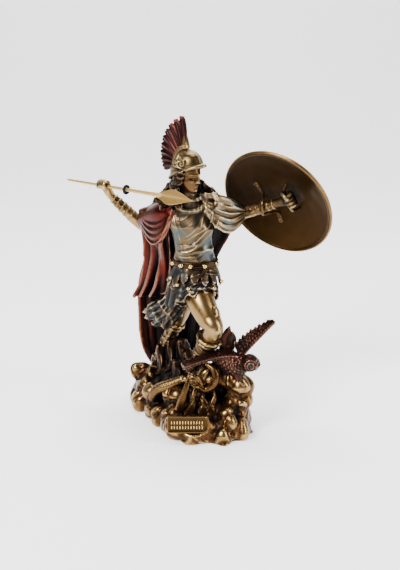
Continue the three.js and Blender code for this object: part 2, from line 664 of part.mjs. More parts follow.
function cape() {
  const swell = (u, v) => 2.4 * Math.min(1, 0.2 + 1.7 * v) * Math.min(1, 5 * u + 0.3, 5 * (1 - u) + 0.3);
  return [
    sheet(clothPlace(capeRows, CAPE_FOLDS, swell), CAPE_THICKNESS, 5 * CAPE_FOLDS, 16),
    sheet(clothPlace(panelRows, 3, (u, v) => 1.2 + 2.4 * v), CAPE_THICKNESS, 18, 9),
  ];
}

// The owl, drawn facing along its own x with its back to its own z
const owlHeading = degrees(-22);
const owlCentre = perchTop.clone().add(new THREE.Vector3(-0.19, -0.02, 0.36).multiplyScalar(OWL_LENGTH));
const owlPlace = new THREE.Matrix4()
  .makeRotationFromEuler(new THREE.Euler(0, degrees(2), owlHeading, "ZYX"))
  .setPosition(owlCentre);
const onOwl = (x, y, z) => new THREE.Vector3(x, y, z).multiplyScalar(OWL_LENGTH).applyMatrix4(owlPlace);

function owlBody() {
  const body = limb([
    [onOwl(-0.5, 0, 0.02), 0.12 * OWL_LENGTH],
    [onOwl(-0.2, 0, -0.04), 0.24 * OWL_LENGTH],
    [onOwl(0.14, 0, -0.1), 0.3 * OWL_LENGTH],
    [onOwl(0.36, 0, 0), 0.2 * OWL_LENGTH],
  ], { sides: 12 });
  const headRadius = 0.23 * OWL_LENGTH;
  const head = boulder(onOwl(0.5, -0.04, 0.03), new THREE.Vector3(headRadius, headRadius, headRadius), 0, 2);
  const legs = [-0.12, 0.12].map((side) => limb([
    [onOwl(0.12, side, -0.15), 0.13 * OWL_LENGTH],
    [onOwl(0.26, 1.1 * side, -0.46), 0.1 * OWL_LENGTH],
  ], { sides: 7 }));
  return [body, head, ...legs];
}

// A wing: a bony leading edge, bowed up from the root to the tip, and flight feathers that trail to one side
function wing(root, tip, trail, { chord, taper, notch, bow, feathers = 8 }) {
  const along = tip.clone().sub(root);
  const frame = frameAt(root, along, new THREE.Vector3().crossVectors(trail, along));
  const length = along.length();
  const lead = (t) => length * bow * Math.sin(Math.PI * t ** 0.8);
  const reach = (t) => length * chord * mix(1, taper, t * t);
  const outline = [];
  for (let i = 0; i <= 5; i++) outline.push([(length * i) / 5, lead(i / 5)]);
  for (let i = feathers; i >= 1; i--) {
    const [near, far] = [(i - 1) / feathers, i / feathers];
    outline.push([length * (far - 0.02), lead(far) - reach(far) * notch]);
    outline.push([length * mix(near, far, 0.7), lead(far) - reach(mix(near, far, 0.6))]);
    outline.push([length * mix(near, far, 0.25), lead(near) - reach(near) * 0.93]);
  }
  const bone = limb([0, 0.35, 0.7, 1].map((t) => [
    new THREE.Vector3(length * t, lead(t) - 0.03 * length, 0).applyMatrix4(frame),
    length * mix(0.075, 0.03, t), length * mix(0.055, 0.03, t)]), { sides: 7, spans: 1 });
  return [blade(outline.reverse(), 0.05 * length, frame), bone];
}

function owl() {
  const parts = owlBody();
  const reachOut = (root, tip, share) => root.clone().add(tip.clone().sub(root).setLength(share * WING_LENGTH));
  const nearRoot = onOwl(0.2, -0.14, 0.14);
  const farRoot = onOwl(0.24, 0.14, 0.1);
  const nearTip = reachOut(nearRoot, onOwl(-1.06, -0.86, -0.14), 1);
  const farTip = reachOut(farRoot, onOwl(0.74, 1.06, 0.78), 0.92);
  const nearShape = { chord: 0.26, taper: 0.6, notch: 0.7, bow: 0.03 };
  parts.push(...wing(nearRoot, nearTip, new THREE.Vector3(0, 0.94, 0.34), nearShape));
  const farShape = { chord: 0.3, taper: 0.15, notch: 0.7, bow: 0 };
  parts.push(...wing(farRoot, farTip, new THREE.Vector3(-0.7, 0.1, 0.65), farShape));
  const tailLeaves = [
    [[-0.28, 0.14, 0.06], [-0.26, 0.18, 0.42], [-0.16, 0.23, 0.79]],
    [[-0.17, 0.16, 0.04], [-0.09, 0.25, 0.36], [-0.09, 0.26, 0.64]],
  ];
  for (const leaf of tailLeaves) {
    const [root, middle, tip] = leaf.map((place) => onOwl(...place));
    parts.push(limb([
      [root, 0.07 * OWL_LENGTH, 0.06 * OWL_LENGTH],
      [middle, 0.12 * OWL_LENGTH, 0.05 * OWL_LENGTH],
      [tip, 0.035 * OWL_LENGTH, 0.03 * OWL_LENGTH],
    ], { sides: 6, hint: new THREE.Vector3(0, 1, 0.2) }));
  }
  return parts;
}

// The spear, drawn along its own x from the butt
const spearWay = at(100, -100, 5).normalize();
const gripShare = 0.325; // where the fist holds it
const spearPlace = frameAt(rightFist.clone().addScaledVector(spearWay, -gripShare * SPEAR_LENGTH), spearWay,
  new THREE.Vector3(0, -1, 0.45));

function spearShaft(allowance) {
  const shaft = SPEAR_LENGTH - BLADE_LENGTH;
  const profile = [[0, 0], [SPEAR_BUTT_DIAMETER / 2 + allowance, 0], [SPEAR_DIAMETER / 2 + allowance, shaft],
    [0.62 * SPEAR_DIAMETER + allowance, shaft + 0.12 * BLADE_LENGTH], [0, shaft + 0.3 * BLADE_LENGTH]];
  const lathe = new THREE.LatheGeometry(profile.map(([r, x]) => new THREE.Vector2(r, x)), 12);
  return solidOf(lathe.rotateZ(degrees(-90)).applyMatrix4(spearPlace));
}

// The leaf blade, with a sharp edge and a ridge down each side
function spearBlade() {
  const rings = [];
  const widths = [[0, 0.16], [0.12, 0.3], [0.26, 0.56], [0.36, 0.88], [0.46, 1], [0.7, 0.64], [0.98, 0.04]];
  for (const [t, wide] of widths) {
    const x = SPEAR_LENGTH - BLADE_LENGTH * (1 - t);
    const half = (wide * BLADE_WIDTH) / 2;
    const thick = (BLADE_THICKNESS / 2) * Math.min(1, 0.3 + wide);
    rings.push([[half, 0], [0.12 * half, thick], [-half, 0], [-0.12 * half, -thick]]
      .map(([y, z]) => new THREE.Vector3(x, y, z).applyMatrix4(spearPlace)));
  }
  return solidOf(skin(rings));
}

function collarBead() {
  const bore = SPEAR_DIAMETER / 2 + CLEARANCE;
  const middle = (COLLAR_DIAMETER / 2 + bore) / 2;
  const bead = new THREE.TorusGeometry(middle, COLLAR_DIAMETER / 2 - middle, 6, 16);
  bead.scale(1, 1, COLLAR_WIDTH / (COLLAR_DIAMETER - 2 * middle));
  return bead.rotateY(degrees(90)).translate(0.5 * SPEAR_LENGTH, 0, 0).applyMatrix4(spearPlace);
}

// The shield, drawn about its own z, which points away from the arm
const forearmWay = leftWrist.clone().sub(leftElbow).normalize();
const shieldFacing = new THREE.Vector3(0.506, 0.76, 0.402).normalize();
const shieldCentre = at(66, 21, 174.5);
const STRAP_SHARE = 0.56; // where along the forearm the strap crosses it
const strapSpot = leftElbow.clone().lerp(leftWrist, STRAP_SHARE);
const armToShield = shieldCentre.clone().sub(strapSpot).dot(shieldFacing);
const shieldPlace = new THREE.Matrix4().multiplyMatrices(
  frameAt(shieldCentre, shieldFacing, forearmWay), new THREE.Matrix4().makeRotationY(degrees(90)));

function shieldDisc() {
  const radius = SHIELD_DIAMETER / 2;
  const dishRadius = (radius * radius + SHIELD_DISH * SHIELD_DISH) / (2 * SHIELD_DISH);
  const sag = (r) => Math.sqrt(dishRadius * dishRadius - r * r) - dishRadius;
  const profile = [];
  const inner = radius - 2 * SHIELD_LIP;
  for (let i = 0; i <= 3; i++) profile.push([(inner * i) / 3, sag((inner * i) / 3) + SHIELD_THICKNESS]);
  for (let i = 0; i <= 5; i++) {
    const angle = mix(degrees(150), degrees(-150), i / 5);
    const [out, away] = [Math.cos(angle) - 1, Math.sin(angle) + 0.4];
    profile.push([radius + SHIELD_LIP * out, sag(inner) + SHIELD_LIP * away]);
  }
  for (let i = 3; i >= 0; i--) profile.push([(inner * i) / 3, sag((inner * i) / 3)]);
  const lathe = new THREE.LatheGeometry(profile.reverse().map(([r, z]) => new THREE.Vector2(r, z)), 36);
  return solidOf(lathe.rotateX(degrees(90)).applyMatrix4(shieldPlace));
}

// A strap over the arm: a bowed band whose ends splay out and meet the shield
function strap(along, arm, reach, allowance) {
  const top = armToShield + arm + CLEARANCE + STRAP_THICKNESS / 2;
  const half = arm + CLEARANCE + STRAP_THICKNESS / 2;
  const path = [[-reach, 0.9], [-half - 1, 1.9], [-half, armToShield], [-0.7 * half, top - 0.3 * half],
    [0, top], [0.7 * half, top - 0.3 * half], [half, armToShield], [half + 1, 1.9], [reach, 0.9]];
  return limb(path.map(([side, away], i) => [
    new THREE.Vector3(along, side, -away).applyMatrix4(shieldPlace),
    (STRAP_WIDTH / 2) * (i === 0 || i === path.length - 1 ? 1.25 : 1) + allowance,
    STRAP_THICKNESS / 2 + allowance,
  ]), { sides: 6, spans: 1, hint: shieldFacing.clone().negate() });
}

// The shield's own x runs back along the forearm.
const strapAlong = shieldCentre.clone().sub(strapSpot).dot(forearmWay);
const gripAlong = shieldCentre.clone().sub(leftFist).dot(forearmWay);
const gripLift = -leftFist.clone().sub(shieldCentre).dot(shieldFacing);

function shieldGrip(allowance) {
  const reach = 11 * grow;
  const path = [[-reach, 0.4], [-0.8 * reach, 0.7 * gripLift], [-0.5 * reach, gripLift],
    [0.5 * reach, gripLift], [0.8 * reach, 0.7 * gripLift], [reach, 0.4]];
  const spot = (side, away) => new THREE.Vector3(gripAlong, side, -away).applyMatrix4(shieldPlace);
  return limb(path.map(([side, away]) => [spot(side, away), 1.2 * grow + allowance]),
    { sides: 6, spans: 1, hint: forearmWay });
}

// Closes up the edges that move the surface least, shortest first among equals, until `goal` triangles are
// left, or with no goal until every edge is longer than `shortest`
function thinned({ vertProperties, triVerts }, { goal = 0, shortest = 0 }) {
  const point = Array.from({ length: vertProperties.length / 3 }, (_, i) =>
    new THREE.Vector3().fromArray(vertProperties, 3 * i));
  let faces = Array.from({ length: triVerts.length / 3 }, (_, i) => [...triVerts.slice(3 * i, 3 * i + 3)]);
  const plane = (face) => {
    const [a, b, c] = face.map((i) => point[i]);
    return new THREE.Vector3().crossVectors(b.clone().sub(a), c.clone().sub(a));
  };
  const error = point.map(() => new Float64Array(10));
  for (const face of faces) {
    const n = plane(face);
    const grounded = face.every((i) => point[i].z < 1e-3);
    const area = (n.length() / 2) * (grounded ? 100 : 1); // the underside stays flat
    if (area < 1e-9) continue;
    n.normalize();
    const d = -n.dot(point[face[0]]);
    const terms = [n.x * n.x, n.x * n.y, n.x * n.z, n.x * d, n.y * n.y, n.y * n.z, n.y * d,
      n.z * n.z, n.z * d, d * d];
    for (const i of face) terms.forEach((term, k) => error[i][k] += area * term);
  }
  const cost = (q, { x, y, z }) => q[0] * x * x + q[4] * y * y + q[7] * z * z + q[9]
    + 2 * (q[1] * x * y + q[2] * x * z + q[3] * x + q[5] * y * z + q[6] * y + q[8] * z);
  for (let pass = 0; pass < 60; pass++) {
    const around = point.map(() => []);
    faces.forEach((face, f) => face.forEach((i) => around[i].push(f)));
    const choices = [];
    for (const face of faces) {
      for (let k = 0; k < 3; k++) {
        const [a, b] = [face[k], face[(k + 1) % 3]];
        if (a > b) continue;
        const length = point[a].distanceTo(point[b]);
        const q = error[a].map((value, n) => value + error[b][n]);
        const spots = [point[a].clone(), point[b].clone(), point[a].clone().lerp(point[b], 0.5)];
        const [spot, price] = spots.map((p) => [p, Math.max(0, cost(q, p))]).sort((m, n) => m[1] - n[1])[0];
        const order = length < shortest ? length * 1e-6 : price + 1e-4 * length * length;
        if (length < shortest || goal > 0) choices.push([order, a, b, spot, q]);
      }
    }
    choices.sort((m, n) => m[0] - n[0]);
    const touched = new Set();
    const gone = new Set();
    let left = faces.length;
    const most = goal > 0 ? Math.max(goal, 0.8 * left) : 0;
    for (const [, a, b, spot, q] of choices) {
      if (left <= most) break;
      const near = (i) => new Set(around[i].flatMap((f) => faces[f]));
      const [nearA, nearB] = [near(a), near(b)];
      const both = [...nearA].filter((i) => nearB.has(i));
      if ([...nearA, ...nearB].some((i) => touched.has(i)) || both.length !== 4) continue;
      const kept = [...around[a], ...around[b]].filter((f) => !(faces[f].includes(a) && faces[f].includes(b)));
      const [oldA, oldB] = [point[a], point[b]];
      const before = kept.map((f) => plane(faces[f]));
      [point[a], point[b]] = [spot, spot];
      const after = kept.map((f) => plane(faces[f]));
      const sound = after.every((n, i) => before[i].length() < 1e-4
        || (n.length() > 1e-3 && n.dot(before[i]) > 0.3 * n.length() * before[i].length()));
      if (!sound) {
        [point[a], point[b]] = [oldA, oldB];
        continue;
      }
      for (const i of [...nearA, ...nearB]) touched.add(i);
      for (const f of around[b]) {
        if (faces[f].includes(a)) gone.add(f);
        else faces[f][faces[f].indexOf(b)] = a;
      }
      error[a] = q;
      left -= 2;
    }
    if (gone.size === 0) break;
    faces = faces.filter((_, f) => !gone.has(f));
    if (goal > 0 && faces.length <= goal) break;
  }
  const name = new Map();
  for (const i of faces.flat()) if (!name.has(i)) name.set(i, name.size);
  return {
    vertProperties: new Float32Array([...name.keys()].flatMap((i) => point[i].toArray())),
    triVerts: new Uint32Array(faces.flat().map((i) => name.get(i))),
  };
}

// Draws vertices that share a place a hair apart, each toward its own neighbours
function parted({ vertProperties, triVerts }) {
  const seen = new Map();
  const near = new Map();
  for (let i = 0; i < triVerts.length; i++) {
    const first = triVerts[3 * Math.floor(i / 3) + ((i + 1) % 3)];
    if (!near.has(triVerts[i])) near.set(triVerts[i], []);
    near.get(triVerts[i]).push(first);
  }
  const place = (i) => new THREE.Vector3().fromArray(vertProperties, 3 * i);
  for (let i = 0; i < vertProperties.length / 3; i++) {
    const key = place(i).toArray().map((x) => Math.round(x / (SHORTEST_EDGE / 10))).join();
    if (!seen.has(key)) seen.set(key, []);
    seen.get(key).push(i);
  }
  for (const same of [...seen.values()].filter((list) => list.length > 1)) {
    for (const i of same) {
      const sum = near.get(i).reduce((total, k) => total.add(place(k)), new THREE.Vector3());
      const goal = sum.divideScalar(near.get(i).length);
      const moved = place(i).add(goal.sub(place(i)).setLength(SHORTEST_EDGE));
      moved.toArray(vertProperties, 3 * i);
    }
  }
  return { vertProperties, triVerts };
}

// Fills the hollows that the joined shapes leave between them: only the shells that face outward are kept.
function filled(solid) {
  const { vertProperties, triVerts } = solid.getMesh();
  const parent = Array.from({ length: vertProperties.length / 3 }, (_, i) => i);
  const root = (i) => {
    while (parent[i] !== i) i = parent[i] = parent[parent[i]];
    return i;
  };
  for (let i = 0; i < triVerts.length; i += 3) {
    parent[root(triVerts[i])] = root(triVerts[i + 1]);
    parent[root(triVerts[i + 1])] = root(triVerts[i + 2]);
  }
  const volume = new Map();
  const corner = (i) => new THREE.Vector3().fromArray(vertProperties, 3 * triVerts[i]);
  for (let i = 0; i < triVerts.length; i += 3) {
    const shell = root(triVerts[i]);
    volume.set(shell, (volume.get(shell) ?? 0) + corner(i).dot(corner(i + 1).cross(corner(i + 2))));
  }
  const kept = [];
  for (let i = 0; i < triVerts.length; i += 3) {
    if (volume.get(root(triVerts[i])) > 0) kept.push(triVerts[i], triVerts[i + 1], triVerts[i + 2]);
  }
  return { vertProperties, triVerts: Uint32Array.from(kept) };
}

// A solid again, from vertices and triangles
const solidAgain = (mesh) => new wasm.Manifold(new wasm.Mesh({ numProp: 3, ...mesh }));

// Putting the pieces together

function casting() {
  const gripSide = new THREE.Vector3().crossVectors(shieldFacing, forearmWay).normalize();
  const whole = join([
    ...rocks(),
    ...footing(perchTop, BOULDER_RADIUS, 21),
    tablet(), serpent(),
    ...legs(), ...foot(frontAnkle, degrees(-62), 30 * grow),
    ...foot(rearAnkle, degrees(-100), 26 * grow),
    cuff(frontKnee, frontAnkle, 0.2, 8.6 * grow), cuff(rearKnee, rearAnkle, 0.12, 6.6 * grow),
    bodice(), skirt(), peplum(), ...belt(), tunicTail(), ...sleeves(), ...arms(),
    ...fist(rightWrist, rightFist, spearWay), ...fist(leftWrist, leftFist, gripSide),
    ...head(), helmet(), crest(), ...hair(), ...cape(), ...owl(),
  ]);
  const below = new THREE.BoxGeometry(4 * BASE_LENGTH, 4 * BASE_LENGTH, BASE_LENGTH);
  below.translate(0, 0, -BASE_LENGTH / 2);
  const carved = thinned(filled(whole.subtract(solidOf(below))), { goal: CARVING_TRIANGLES });
  return solidAgain(carved)
    .subtract(spearShaft(CLEARANCE))
    .subtract(shieldGrip(CLEARANCE))
    .subtract(strap(strapAlong, 4.9 * grow, 20 * grow, CLEARANCE));
}

function shield() {
  return join([shieldDisc(), strap(strapAlong, 4.9 * grow, 20 * grow, 0), shieldGrip(0)]);
}

const finishes = {
  bronze: new THREE.MeshStandardMaterial({ color: 0x8a6a3c, roughness: 0.38, metalness: 0.9 }),
  gilt: new THREE.MeshStandardMaterial({ color: 0xb8a273, roughness: 0.32, metalness: 0.95 }),
  black: new THREE.MeshStandardMaterial({ color: 0x15131c, roughness: 0.45, metalness: 0 }),
};

function meshOf(name, solid, material) {
  const { vertProperties, triVerts } = parted(thinned(filled(solid), { shortest: SHORTEST_EDGE }));
  const geometry = new THREE.BufferGeometry();
  geometry.setAttribute("position", new THREE.BufferAttribute(new Float32Array(vertProperties), 3));
  geometry.setIndex(new THREE.BufferAttribute(new Uint32Array(triVerts), 1));
  const mesh = new THREE.Mesh(geometry, material);
  mesh.name = name;
  return mesh;
}

const collar = new THREE.Mesh(collarBead(), finishes.black);
collar.name = "spear_collar";

const statuette = new THREE.Group();
statuette.add(
  meshOf("figure_owl_and_rocks", casting(), finishes.bronze),
  meshOf("spear", spearShaft(0).add(spearBlade()), finishes.gilt),
  collar,
  meshOf("shield", shield(), finishes.bronze),
);

export default statuette;
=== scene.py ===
# %% [markdown]
# A bronze-finished statuette of an armed goddess lunging over rocks, with an owl, a spear and a shield.
# The real figure is one casting of resin and bronze powder, with a spear and a shield that are made apart.
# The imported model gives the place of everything, so it is loaded first and its box is kept for later.

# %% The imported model
import itertools
import math
import bpy
import numpy as np
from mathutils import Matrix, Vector, kdtree
from mathutils.bvhtree import BVHTree


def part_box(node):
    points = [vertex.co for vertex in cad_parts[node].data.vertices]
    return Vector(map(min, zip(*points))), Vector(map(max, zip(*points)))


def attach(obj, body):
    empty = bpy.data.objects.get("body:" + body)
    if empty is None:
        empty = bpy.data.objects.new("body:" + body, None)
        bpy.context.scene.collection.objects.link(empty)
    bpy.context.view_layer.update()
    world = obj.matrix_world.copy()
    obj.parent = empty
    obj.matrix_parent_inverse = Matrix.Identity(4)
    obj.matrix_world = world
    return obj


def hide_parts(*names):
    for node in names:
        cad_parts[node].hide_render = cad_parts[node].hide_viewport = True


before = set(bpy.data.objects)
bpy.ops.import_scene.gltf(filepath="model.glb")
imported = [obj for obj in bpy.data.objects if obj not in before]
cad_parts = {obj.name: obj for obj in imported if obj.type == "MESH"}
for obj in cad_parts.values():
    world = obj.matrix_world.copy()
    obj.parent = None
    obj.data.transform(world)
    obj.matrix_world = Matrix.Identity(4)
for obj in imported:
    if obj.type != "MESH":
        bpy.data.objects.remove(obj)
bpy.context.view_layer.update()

print("nodes:", sorted(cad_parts))

# %% [markdown]
# Blender works in metres and a statuette is drawn in millimetres, so every shape is drawn in millimetres
# and turned into metres once, when its mesh is made. The pose is drawn for a casting 242.4 mm tall.

# %% Units and the figure's scale
MM = 0.001
DRAWN_HEIGHT = 242.4
casting_low, casting_high = (np.array(corner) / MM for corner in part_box("figure_owl_and_rocks"))
GROW = (casting_high[2] - casting_low[2]) / DRAWN_HEIGHT
UP = np.array([0.0, 0.0, 1.0])
ACROSS = np.array([1.0, 0.4, 0.0])


def at(x, y, z):
    """A place drawn for the figure, grown with it."""
    return GROW * np.array([x, y, z], float)


def unit(v):
    v = np.asarray(v, float)
    return v / np.maximum(np.linalg.norm(v, axis=-1, keepdims=True), 1e-12)


def mix(a, b, share):
    return a + (b - a) * share


def turning(axis, angle):
    """The matrix of a turn about x, y or z, which are axes 0, 1 and 2."""
    made, i, j = np.eye(3), (axis + 1) % 3, (axis + 2) % 3
    made[i, i] = made[j, j] = math.cos(angle)
    made[j, i] = math.sin(angle)
    made[i, j] = -made[j, i]
    return made


def turned(v, angle):
    """The vector turned about the upright."""
    return np.asarray(v, float) @ turning(2, angle).T


def pointing(angle):
    """A level vector of length one along a heading."""
    return np.array([math.cos(angle), math.sin(angle), 0])


def round_angles(count):
    """Angles all the way round, as one row."""
    return np.linspace(0, 2 * math.pi, count, endpoint=False)[None, :]


print("figure's scale:", round(GROW, 4))

# %% [markdown]
# Sculpted forms are easiest to describe as rings of points along a path. A Shape keeps such points with
# their faces, and knows how to turn itself the right way out. Numpy works on all the points at once, which
# keeps a mesh of a hundred thousand points quick.

# %% Shapes
class Shape:
    """Closed surfaces: points in millimetres, with faces of four and of three corners."""

    def __init__(self, points=(), quads=(), tris=()):
        self.points = np.asarray(points, float).reshape(-1, 3)
        self.quads = np.asarray(quads, int).reshape(-1, 4)
        self.tris = np.asarray(tris, int).reshape(-1, 3)

    def outward(self):
        p = self.points
        a, b, c, d = (p[self.quads[:, k]] for k in range(4))
        e, f, g = (p[self.tris[:, k]] for k in range(3))
        volume = (a * np.cross(b, c)).sum() + (a * np.cross(c, d)).sum() + (e * np.cross(f, g)).sum()
        if volume < 0:
            self.quads = self.quads[:, ::-1]
            self.tris = self.tris[:, ::-1]
        return self


def tell(name, *shapes):
    print(name, "has", sum(2 * len(shape.quads) + len(shape.tris) for shape in shapes), "triangles")


def joined(shapes):
    shifts = np.cumsum([0] + [len(shape.points) for shape in shapes[:-1]])
    return Shape(np.vstack([shape.points for shape in shapes]),
                 np.vstack([shape.quads + shift for shape, shift in zip(shapes, shifts)]),
                 np.vstack([shape.tris + shift for shape, shift in zip(shapes, shifts)]))


def skin(rings):
    """A closed surface through rings that have as many points each, with a fan over each end."""
    rings = np.asarray(rings, float)
    rows, around, _ = rings.shape
    here = np.arange(rows * around).reshape(rows, around)
    beside = np.roll(here, -1, axis=1)
    quads = np.stack([here[:-1], beside[:-1], beside[1:], here[1:]], -1)
    first, last = np.full(around, rows * around), np.full(around, rows * around + 1)
    tris = np.vstack([np.stack([beside[0], here[0], first], -1), np.stack([here[-1], beside[-1], last], -1)])
    points = np.vstack([rings.reshape(-1, 3), rings[0].mean(0), rings[-1].mean(0)])
    return Shape(points, quads, tris).outward()


def smooth_path(knots, share):
    """A smooth curve through knots of any width, at shares from 0 to 1 of the way."""
    knots = np.asarray(knots, float)
    spans = len(knots) - 1
    way = np.clip(np.asarray(share, float) * spans, 0, spans - 1e-9)
    i = way.astype(int)
    t = (way - i).reshape((-1,) + (1,) * (knots.ndim - 1))
    ends = np.concatenate([[2 * knots[0] - knots[1]], knots, [2 * knots[-1] - knots[-2]]])
    a, b, c, d = (ends[i + k] for k in range(4))
    return b + 0.5 * t * (c - a + t * (2 * a - 5 * b + 4 * c - d + t * (3 * (b - c) + d - a)))


def limb(stations, sides=20, steps=40, hint=UP, ripple=None, ends=0.6):
    """A round limb through stations of place, half width and, if it isn't round, half depth."""
    rows = smooth_path([tuple(place) + tuple(size) + tuple(size[:1]) * (2 - len(size))
                        for place, *size in stations], np.linspace(0, 1, steps + 1))
    centre, wide, deep = rows[:, :3], rows[:, 3], rows[:, 4]
    tangent = unit(np.gradient(centre, axis=0))
    share = np.linspace(0, 1, steps + 1)
    if ends:
        bend = np.radians([78, 55, 28])
        caps = [(np.full(3, 0), bend, -1), (np.arange(steps + 1), np.zeros(steps + 1), 1),
                (np.full(3, steps), bend[::-1], 1)]
        row = np.concatenate([c[0] for c in caps])
        lean = np.concatenate([c[1] for c in caps])
        way = np.concatenate([np.full(len(c[0]), c[2]) for c in caps])
        centre = centre[row] + tangent[row] * (ends * wide[row] * np.sin(lean) * way)[:, None]
        wide, deep = wide[row] * np.cos(lean), deep[row] * np.cos(lean)
        tangent, share = tangent[row], share[row]
    across = unit(np.cross(hint, tangent))
    over = unit(np.cross(tangent, across))
    angle = round_angles(sides)
    swell = np.ones((len(centre), sides)) if ripple is None else ripple(angle, share[:, None])
    rings = centre[:, None] + across[:, None] * (wide[:, None] * swell * np.cos(angle))[..., None]
    return skin(rings + over[:, None] * (deep[:, None] * swell * np.sin(angle))[..., None])


def column(rows, sides, steps, swell=None, drop=None):
    """An upright body through rows of place, half width and half depth."""
    share = np.linspace(0, 1, steps + 1)
    path = smooth_path([tuple(place) + tuple(size) for place, *size in rows], share)
    angle = round_angles(sides)
    share = share[:, None]
    size = np.ones((steps + 1, sides)) if swell is None else swell(angle, share)
    fall = np.zeros((steps + 1, sides)) if drop is None else drop(angle, share)
    return skin(np.stack([path[:, :1] + path[:, 3:4] * size * np.cos(angle),
                          path[:, 1:2] + path[:, 4:5] * size * np.sin(angle), path[:, 2:3] - fall], -1))


def ball(centre, half, bumps=0.0, seed=0, rows=18):
    """A ball pressed to three half sizes, with soft flats that follow its seed."""
    rise = np.linspace(-math.pi / 2, math.pi / 2, rows + 2)[1:-1, None]
    angle = round_angles(2 * rows)
    v = np.stack([np.cos(rise) * np.cos(angle), np.cos(rise) * np.sin(angle), np.sin(rise) + 0 * angle], -1)
    swell = 1 + bumps * (np.sin(3.1 * v[..., 0] + 2.3 * seed) + np.sin(3.7 * v[..., 1] + 1.7 * seed)
                         + 0.7 * np.sin(4.3 * v[..., 2] + seed))
    return skin(v * swell[..., None] * np.asarray(half, float) + centre)


def sheet(place, thickness, across, along):
    """A closed sheet over place(u, v), each from 0 to 1. The thickness may follow u and v."""
    u, v = np.meshgrid(np.linspace(0, 1, across + 1), np.linspace(0, 1, along + 1), indexing="ij")
    middle = place(u, v)
    out = unit(np.cross(np.gradient(middle, axis=0), np.gradient(middle, axis=1)))
    half = 0.5 * (thickness(u, v) if callable(thickness) else np.full_like(u, thickness))[..., None]
    top, bottom = middle + half * out, middle - half * out
    count = (across + 1) * (along + 1)
    number = np.arange(count).reshape(across + 1, along + 1)
    faces = np.stack([number[:-1, :-1], number[1:, :-1], number[1:, 1:], number[:-1, 1:]], -1).reshape(-1, 4)
    rim = np.concatenate([number[:-1, 0], number[-1, :-1], number[:0:-1, -1], number[0, :0:-1]])
    ahead = np.roll(rim, -1)
    sides = np.stack([rim, rim + count, ahead + count, ahead], -1)
    points = np.vstack([top.reshape(-1, 3), bottom.reshape(-1, 3)])
    return Shape(points, np.vstack([faces, faces[:, ::-1] + count, sides])).outward()


print("a test limb has", len(limb([(at(0, 0, 0), 2), (at(0, 5, 9), 1)]).points), "points")

# %% [markdown]
# A casting has no seams: one skin runs over everything. Overlapping shapes are therefore melted together by a
# voxel remesh and relaxed a little. Hand-modelled wax is never quite even, so a smooth noise moves it.

# %% Melting shapes together
def mesh_of(shape, name):
    mesh = bpy.data.meshes.new(name)
    mesh.from_pydata((shape.points * MM).tolist(), [], shape.quads.tolist() + shape.tris.tolist())
    mesh.update()
    return mesh


def links_of(shape):
    """Every edge once, as pairs of point numbers."""
    pairs = np.vstack([np.stack([f, np.roll(f, -1, 1)], -1).reshape(-1, 2)
                       for f in (shape.quads, shape.tris)])
    pairs = np.sort(pairs, 1)
    codes = np.unique(pairs[:, 0] * len(shape.points) + pairs[:, 1])
    return codes // len(shape.points), codes % len(shape.points)


def averaged(values, links, times=1):
    """Each point takes the mean of its neighbours, some number of times."""
    i, j = links
    count = len(values)
    near = np.maximum(np.bincount(i, minlength=count) + np.bincount(j, minlength=count), 1)
    flat = values.reshape(count, -1)
    for _ in range(times):
        flat = np.stack([(np.bincount(i, c[j], count) + np.bincount(j, c[i], count)) / near
                         for c in flat.T], -1)
    return flat.reshape(values.shape)


def relaxed(shape, times):
    """The shape with its finest bumps eased. A step out follows each step in, so that it keeps its size."""
    links = links_of(shape)
    for _ in range(times):
        for step in (0.5, -0.52):
            shape.points = shape.points + step * (averaged(shape.points, links) - shape.points)
    return shape


def normals_of(shape):
    p = shape.points
    total = np.zeros_like(p)
    for faces in (shape.quads, shape.tris):
        if len(faces) == 0:
            continue
        corner = [p[faces[:, k]] for k in range(faces.shape[1])]
        facing = np.cross(corner[2] - corner[0], corner[-1] - corner[1])
        if faces.shape[1] == 3:
            facing = np.cross(corner[1] - corner[0], corner[2] - corner[0])
        for k, axis in itertools.product(range(faces.shape[1]), range(3)):
            total[:, axis] += np.bincount(faces[:, k], facing[:, axis], len(p))
    return unit(total)


def fused(shapes, voxel, ease):
    """One skin over all the shapes. Details much finer than the voxel are lost."""
    rough = bpy.data.objects.new("rough", mesh_of(joined(shapes), "rough"))
    bpy.context.scene.collection.objects.link(rough)
    melt = rough.modifiers.new("melt", "REMESH")
    melt.mode = "VOXEL"
    melt.voxel_size = voxel * MM
    result = rough.evaluated_get(bpy.context.evaluated_depsgraph_get()).to_mesh()
    points = np.empty(3 * len(result.vertices))
    corners = np.empty(len(result.loops), int)
    result.vertices.foreach_get("co", points)
    result.loops.foreach_get("vertex_index", corners)
    rough_mesh = rough.data
    bpy.data.objects.remove(rough)
    bpy.data.meshes.remove(rough_mesh)
    return relaxed(Shape(points / MM, corners), ease)


def noise(points, size, seed=0):
    """Smooth noise from -1 to 1 that varies over a given size in millimetres."""
    q = points / size + 17.3 * (seed + 1)
    cell = np.floor(q).astype(np.int64)
    f = q - cell
    f = f * f * (3 - 2 * f)
    total = np.zeros(len(points))
    for corner in itertools.product((0, 1), repeat=3):
        weight = np.prod(np.where(corner, f, 1 - f), axis=-1)
        total += weight * hashed(cell + np.array(corner))
    return total


def hashed(cell, channel=0):
    """A repeatable number from -1 to 1 for each cell of whole numbers."""
    key = cell @ np.array([73856093, 19349663, 83492791]) + 7919 * channel
    key = (key ^ (key >> 13)) * 1274126177
    key = (key ^ (key >> 16)) & 0xFFFFFF
    return key / 0x7FFFFF - 1


